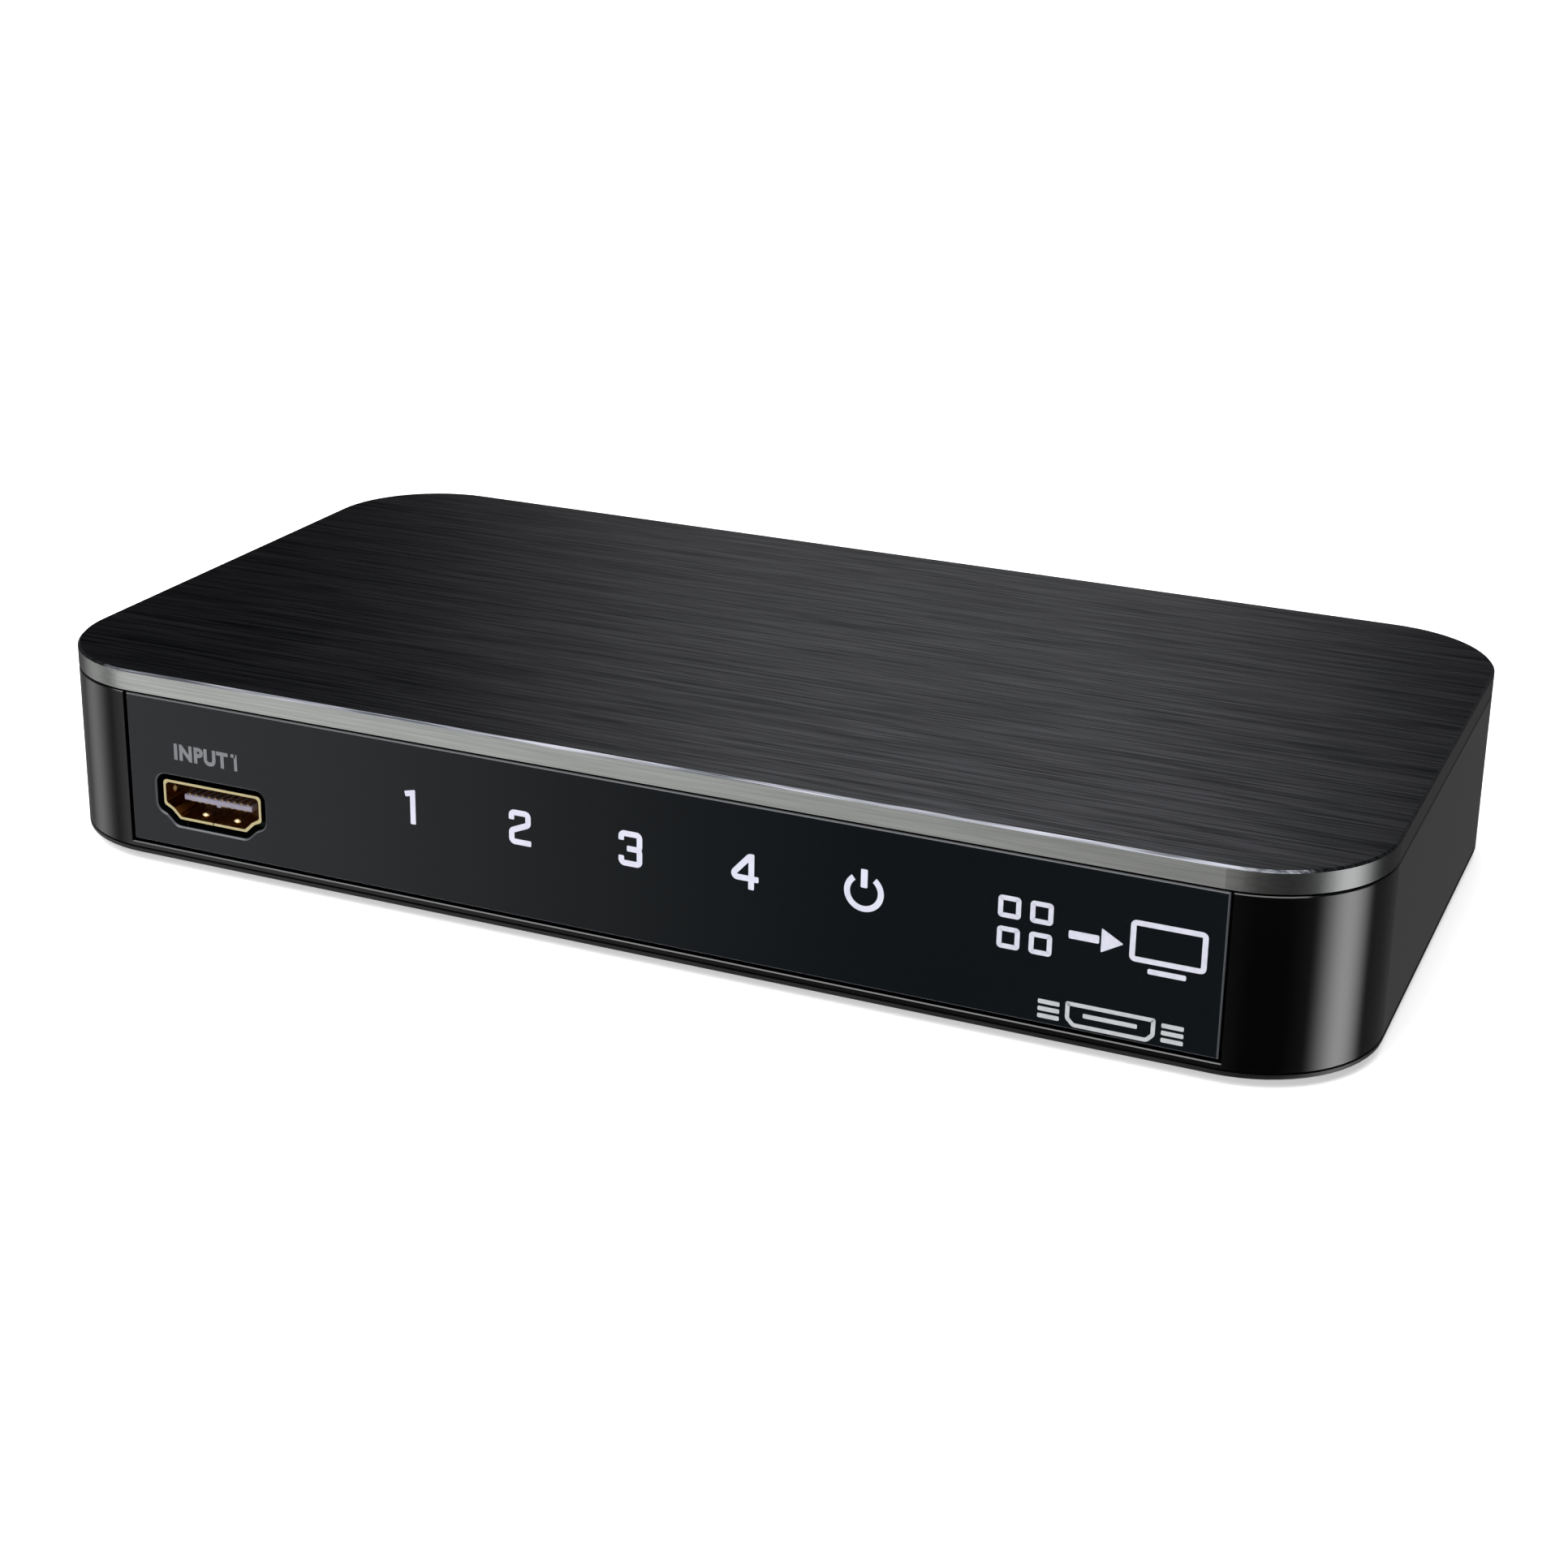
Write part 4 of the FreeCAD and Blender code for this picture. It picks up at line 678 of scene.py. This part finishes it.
# %% Front legend
LEGEND_X = -61.25
LEGEND_Z = 16.5
LEGEND_WIDTH = 8.3
LEGEND_HEIGHT = 2.25
LEGEND_WEIGHT = 0.045
STEM = 0.45
FLAG = 0.75
marks = [(word("legend_input", "INPUT", LEGEND_WIDTH, LEGEND_HEIGHT, LEGEND_WEIGHT), -0.7, 0.0),
         (tile(STEM, LEGEND_HEIGHT, 0.05), 4.6, 0.0),
         (tile(FLAG, STEM, 0.15), 4.25, LEGEND_HEIGHT / 2 - STEM / 2)]
symbol("legend_input_1", marks, LEGEND_X * MM, LEGEND_Z * MM, GREY_INK)

# %% [markdown]
# ## Four sources to one screen
# Beside the icons, four squares, an arrow and a screen say what the box does. The screen also marks
# the output on the rear, so a function draws it at any size, as a frame above a short stand.

# %% Sources to screen
SOURCES_X = 58.8
SOURCES_Z = 14.95
SQUARES_AT = -8.9
SQUARE = 2.75
SQUARE_STEP = 3.85
SHAFT_AT = -1.9
SHAFT_LONG = 3.6
SHAFT_WIDE = 1.0
HEAD_AT = 1.0
HEAD_LONG = 2.6
SCREEN_AT = 7.9
SCREEN_LINE = 0.65
STAND_GAP = 0.9


def screen_marks(across, up, width, height):
    """A screen on a stand, as marks round the given middle."""
    stand_drop = height / 2 + STAND_GAP
    return [(tile(width, height, 0.7, line=SCREEN_LINE), across, up),
            (tile(width / 2, SCREEN_LINE, 0.2), across, up - stand_drop)]


marks = [(tile(SQUARE, SQUARE, 0.5, line=0.6), SQUARES_AT + i * SQUARE_STEP, j * SQUARE_STEP)
         for i in (-0.5, 0.5) for j in (-0.5, 0.5)]
marks.append((tile(SHAFT_LONG, SHAFT_WIDE, 0.2), SHAFT_AT, 0.0))
marks.append((arrow_head(HEAD_LONG), HEAD_AT, 0.0))
marks += screen_marks(SCREEN_AT, 0.75, 8.9, 5.1)
symbol("print_sources_to_screen", marks, SOURCES_X * MM, SOURCES_Z * MM, WHITE_INK)

# %% [markdown]
# ## The outline of a socket
# Below the screen is the mouth of a socket, drawn as a frame whose lower corners are cut, with its
# tongue as a bar inside. Three short lines at each side stand for the signal.

# %% Socket outline
OUTLINE_X = 60.5
OUTLINE_Z = 5.05
OUTLINE_LONG = 10.6
OUTLINE_HIGH = 3.1
BAR = 0.55
TONGUE_LONG = 6.4
LINE_LONG = 2.6
LINE_AT = 7.3
LINE_STEP = 0.9
marks = [(tile(OUTLINE_LONG, OUTLINE_HIGH, 0.3, line=0.5, chamfer=0.9), 0.0, 0.0),
         (tile(TONGUE_LONG, BAR, 0.15), 0.0, 0.1)]
marks += [(tile(LINE_LONG, BAR, 0.15), side * LINE_AT, row * LINE_STEP)
          for side in (-1, 1) for row in (-1, 0, 1)]
symbol("print_socket_outline", marks, OUTLINE_X * MM, OUTLINE_Z * MM, SILVER_INK)

# %% [markdown]
# ## The marks on the rear
# The rear sockets are numbered to match the icons in front, the one that feeds the screen has the
# screen symbol, and the power jack has the sign for direct current: a bar above three dashes. Each
# mark takes its place from the part below it, so it stays above that part if the part moves.

# %% Rear marks
REAR_ROW = 16.1
JACK_ROW = 20.4
DIGIT_WIDE = 1.5
DIGIT_HIGH = 2.2
DIGIT_WEIGHT = 0.012
DASH = 0.4
DASH_GAP = 0.45


def middle(name):
    """The middle of a CAD node, from left to right."""
    low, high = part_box(name)
    return (low[0] + high[0]) / 2


for digit in "234":
    mark = word(f"legend_rear_{digit}", digit, DIGIT_WIDE, DIGIT_HIGH, DIGIT_WEIGHT)
    lay(mark, middle(f"input_{digit}_shell"), REAR_ROW * MM, rear=True)
    ink(mark, GREY_INK)
symbol("print_rear_screen", screen_marks(0.0, 0.4, 4.6, 2.8), middle("output_shell"), REAR_ROW * MM,
       GREY_INK, rear=True)
marks = [(tile(4.2, DASH, 0.1), 0.0, DASH_GAP)]
marks += [(tile(1.0, DASH, 0.1), side * 1.6, -DASH_GAP) for side in (-1, 0, 1)]
symbol("print_direct_current", marks, middle("dc_jack_housing"), JACK_ROW * MM, GREY_INK, rear=True)

# %% [markdown]
# ## Floor
# The box stands on a sheet of white opal acrylic that is lit from below, at half strength under the
# box and fully from 0.6 m away. A plain white sheet could be lit from above alone, but it would turn
# grey with distance. This one stays white as far as the eye reaches, and the shadow round the box
# stays faint. It is left out of mirrored light, so that the gloss panel shows the studio and not the
# sheet, and it is clear from below, so that the underside of the box can be seen.

# %% Floor
FLOOR_WIDTH = 8.0
GLOW_STARTS = 0.1
GLOW_FULL = 0.6
OPAL_GRAIN = 0.4
OPAL_RELIEF = 0.01
bpy.ops.object.select_all(action="DESELECT")
bpy.ops.mesh.primitive_plane_add(size=FLOOR_WIDTH)
floor = bpy.context.object
floor.name = "floor"
floor.visible_glossy = False


def opal_sheet():
    """Matt white, with a light in it that grows with the distance. Clear when seen from below."""
    material, tree, place = start("acrylic_opal_lit")
    away = add(tree, "ShaderNodeVectorMath", {"operation": "LENGTH"}, {0: place}).outputs["Value"]
    glow = add(tree, "ShaderNodeMapRange", {"interpolation_type": "SMOOTHSTEP"},
               {"Value": away, "From Min": GLOW_STARTS, "From Max": GLOW_FULL, "To Min": 0.5,
                "To Max": 1.0}).outputs["Result"]
    grain = add(tree, "ShaderNodeTexNoise",
                inputs={"Vector": place, "Scale": 1 / (OPAL_GRAIN * MM)}).outputs["Fac"]
    fine = add(tree, "ShaderNodeBump",
               inputs={"Height": grain, "Distance": OPAL_RELIEF * MM}).outputs["Normal"]
    below = add(tree, "ShaderNodeNewGeometry").outputs["Backfacing"]
    solid = add(tree, "ShaderNodeMath", {"operation": "SUBTRACT"}, {0: 1.0, 1: below}).outputs["Value"]
    end(tree, {"Base Color": paint("#f1f1f1"), "Roughness": 0.9, "Emission Color": (1, 1, 1, 1),
               "Emission Strength": glow, "Normal": fine, "Alpha": solid})
    return material


floor.data.materials.append(opal_sheet())
print("floor", floor.dimensions[0], "m wide")

# %% [markdown]
# ## Camera
# The camera looks at the box from the front right and a little above. It could be aimed with a
# constraint, but a direction, a distance and a roll say the same in three numbers that can be read.
# They start at the middle of the footprint, a little above it and to its right. The camera is turned
# slightly about its own axis, and a small vertical shift keeps the upright edges nearly parallel.

# %% Camera
AZIMUTH, ELEVATION, ROLL = (math.radians(angle) for angle in (23.04, 19.25, 1.06))
DISTANCE = 0.3687
LIFT = 0.0219
SLIDE = 0.0002
LENS = 61.64
SENSOR = 36.0
FRAME_SHIFT = -0.0776
back = Vector((math.sin(AZIMUTH) * math.cos(ELEVATION), -math.cos(AZIMUTH) * math.cos(ELEVATION),
               math.sin(ELEVATION)))
level_right = (-back).cross(Vector((0, 0, 1))).normalized()
level_up = level_right.cross(-back)
right = level_right * math.cos(ROLL) + level_up * math.sin(ROLL)
up = level_up * math.cos(ROLL) - level_right * math.sin(ROLL)
base = Vector((0, 0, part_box("base_cover")[0][2]))
bpy.ops.object.camera_add()
camera = bpy.context.object
camera.name = "camera"
camera.data.lens = LENS
camera.data.sensor_width = SENSOR
camera.data.shift_y = FRAME_SHIFT
camera.data.clip_start = 0.01
turn = Matrix((right, up, back)).transposed()
camera.matrix_world = Matrix.Translation(base + back * DISTANCE + up * LIFT + right * SLIDE) @ turn.to_4x4()
bpy.context.scene.camera = camera
bpy.context.scene.view_settings.view_transform = "Standard"
print("camera at", [round(c, 3) for c in camera.matrix_world.translation])

# %% [markdown]
# ## Studio
# Black gloss shows only what it mirrors, so the light round the box makes the picture. The upright
# faces mirror what lies below the horizon: a dim table with a soft light along its left, a glow at
# the front left, a strip at each side, the right one bright, and a dark screen at the front right.
# The top plate mirrors what lies above the horizon at the back: a dark wall with one narrow glow,
# brighter higher up. A panel above the horizon at the front left lights the rim of the plate and the
# gold. Lamps could do this, but each would light everything. A world that depends only on direction
# keeps every reflection separate, so each light is a smooth hump at one bearing, in degrees from the
# front and to the right, and reach says how far from its middle it ends.

# %% Lights round the box
DIM_TABLE = 0.125
TABLE_SCREEN = {"centre": 27, "plateau": 12, "reach": 38, "amount": -0.9 * DIM_TABLE}
SOFT_LEFT = {"centre": -90, "plateau": 10, "reach": 62, "amount": 0.12}
FRONT_LEFT_GLOW = {"centre": -42, "plateau": 2, "reach": 22, "amount": 0.75}
LEFT_STRIP = {"centre": -87, "plateau": 0, "reach": 26, "amount": 1.05}
RIGHT_STRIP = {"centre": 93, "plateau": 0, "reach": 32, "amount": 5.5}
DARK_WALL = 0.15
WALL_SCREEN = {"centre": -155, "plateau": 28, "reach": 50, "amount": -0.97 * DARK_WALL}
HIGH_LEFT_PANEL = {"centre": -32, "plateau": 14, "reach": 28, "amount": 2.5}
BACK_GLOW = {"centre": -160, "plateau": 3, "reach": 14.5}
print("table", DIM_TABLE, "wall", DARK_WALL)

# %% [markdown]
# ## A hump of light
# The distance from a bearing is the difference of two angles, wrapped so that it never passes half a
# turn. A smooth step turns it into a hump, and humps are added up on an even level.


# %% Hump and ring
def hump(tree, bearing, centre, plateau, reach):
    """1 within plateau degrees of a bearing, falling smoothly to 0 at reach degrees from it."""
    offset = add(tree, "ShaderNodeMath", {"operation": "SUBTRACT"},
                 {0: bearing, 1: math.radians(centre)}).outputs["Value"]
    wrapped = add(tree, "ShaderNodeMath", {"operation": "WRAP"},
                  {0: offset, 1: math.pi, 2: -math.pi}).outputs["Value"]
    distance = add(tree, "ShaderNodeMath", {"operation": "ABSOLUTE"}, {0: wrapped}).outputs["Value"]
    return add(tree, "ShaderNodeMapRange", {"interpolation_type": "SMOOTHSTEP"},
               {"Value": distance, "From Min": math.radians(reach),
                "From Max": math.radians(plateau)}).outputs["Result"]


def ring_of_light(tree, bearing, level, *humps):
    """An even level all round, with some amount added at each hump, or taken away."""
    for each in humps:
        shape = hump(tree, bearing, each["centre"], each["plateau"], each["reach"])
        level = add(tree, "ShaderNodeMath", {"operation": "MULTIPLY_ADD"},
                    {0: shape, 1: each["amount"], 2: level}).outputs["Value"]
    return level


print("hump helpers ready")

# %% [markdown]
# ## The world
# The direction of a ray gives its bearing, and its height says whether it meets the table or the
# wall, with a soft change at the horizon. The glow at the back gets stronger as it rises. The camera
# itself sees plain white behind the floor, which the light path tells apart.

# %% World
world = bpy.data.worlds.new("studio")
bpy.context.scene.world = world
world.use_nodes = True
sky = world.node_tree
sky.nodes.clear()
direction = add(sky, "ShaderNodeSeparateXYZ",
                inputs={"Vector": add(sky, "ShaderNodeTexCoord").outputs["Generated"]}).outputs
toward = add(sky, "ShaderNodeMath", {"operation": "MULTIPLY"}, {0: direction["Y"], 1: -1.0}).outputs["Value"]
bearing = add(sky, "ShaderNodeMath", {"operation": "ARCTAN2"},
              {0: direction["X"], 1: toward}).outputs["Value"]
table = ring_of_light(sky, bearing, DIM_TABLE, TABLE_SCREEN, SOFT_LEFT, FRONT_LEFT_GLOW, LEFT_STRIP,
                      RIGHT_STRIP)
wall = ring_of_light(sky, bearing, DARK_WALL, WALL_SCREEN, HIGH_LEFT_PANEL)
rise = add(sky, "ShaderNodeMapRange",
           inputs={"Value": direction["Z"], "From Min": 0.28, "From Max": 0.42, "To Min": 0.15,
                   "To Max": 0.49}).outputs["Result"]
wall = add(sky, "ShaderNodeMath", {"operation": "MULTIPLY_ADD"},
           {0: hump(sky, bearing, **BACK_GLOW), 1: rise, 2: wall}).outputs["Value"]
above = add(sky, "ShaderNodeMapRange", {"interpolation_type": "SMOOTHSTEP"},
            {"Value": direction["Z"], "From Min": -0.1, "From Max": 0.1}).outputs["Result"]
level = add(sky, "ShaderNodeMix", {"data_type": "FLOAT"},
            {FACTOR: above, NUMBER_A: table, NUMBER_B: wall}).outputs[NUMBER_OUT]
round_light = add(sky, "ShaderNodeBackground", inputs={"Strength": level}).outputs["Background"]
backdrop = add(sky, "ShaderNodeBackground", inputs={"Color": (1, 1, 1, 1)}).outputs["Background"]
seen = add(sky, "ShaderNodeLightPath").outputs["Is Camera Ray"]
both = add(sky, "ShaderNodeMixShader", inputs={0: seen, 1: round_light, 2: backdrop}).outputs["Shader"]
add(sky, "ShaderNodeOutputWorld", inputs={"Surface": both})
print("studio nodes", len(sky.nodes))

# %% [markdown]
# ## Lamp
# One wide softbox hangs high at the front left. It lights the floor, the printed marks and the rim
# of the plate, and it draws a thin bright line along the plate's chamfer. It does not show in the
# front panel, which mirrors only what is below the horizon. A small lamp would do the same with less
# light wasted, but its shadows would be hard.

# %% Softbox
LAMP_BEARING = math.radians(-50)
LAMP_HEIGHT = math.radians(76)
LAMP_DISTANCE = 1.25
LAMP_SIZE = 1.75
LAMP_WATTS = 34
toward_lamp = Vector((math.sin(LAMP_BEARING) * math.cos(LAMP_HEIGHT),
                      -math.cos(LAMP_BEARING) * math.cos(LAMP_HEIGHT), math.sin(LAMP_HEIGHT)))
bpy.ops.object.light_add(type="AREA", location=toward_lamp * LAMP_DISTANCE)
lamp = bpy.context.object
lamp.name = "softbox"
lamp.data.size = LAMP_SIZE
lamp.data.energy = LAMP_WATTS
lamp.rotation_euler = (-toward_lamp).to_track_quat("-Z", "Y").to_euler()
lamp.visible_camera = False
print("softbox at", [round(c, 2) for c in lamp.location], LAMP_WATTS, "W")
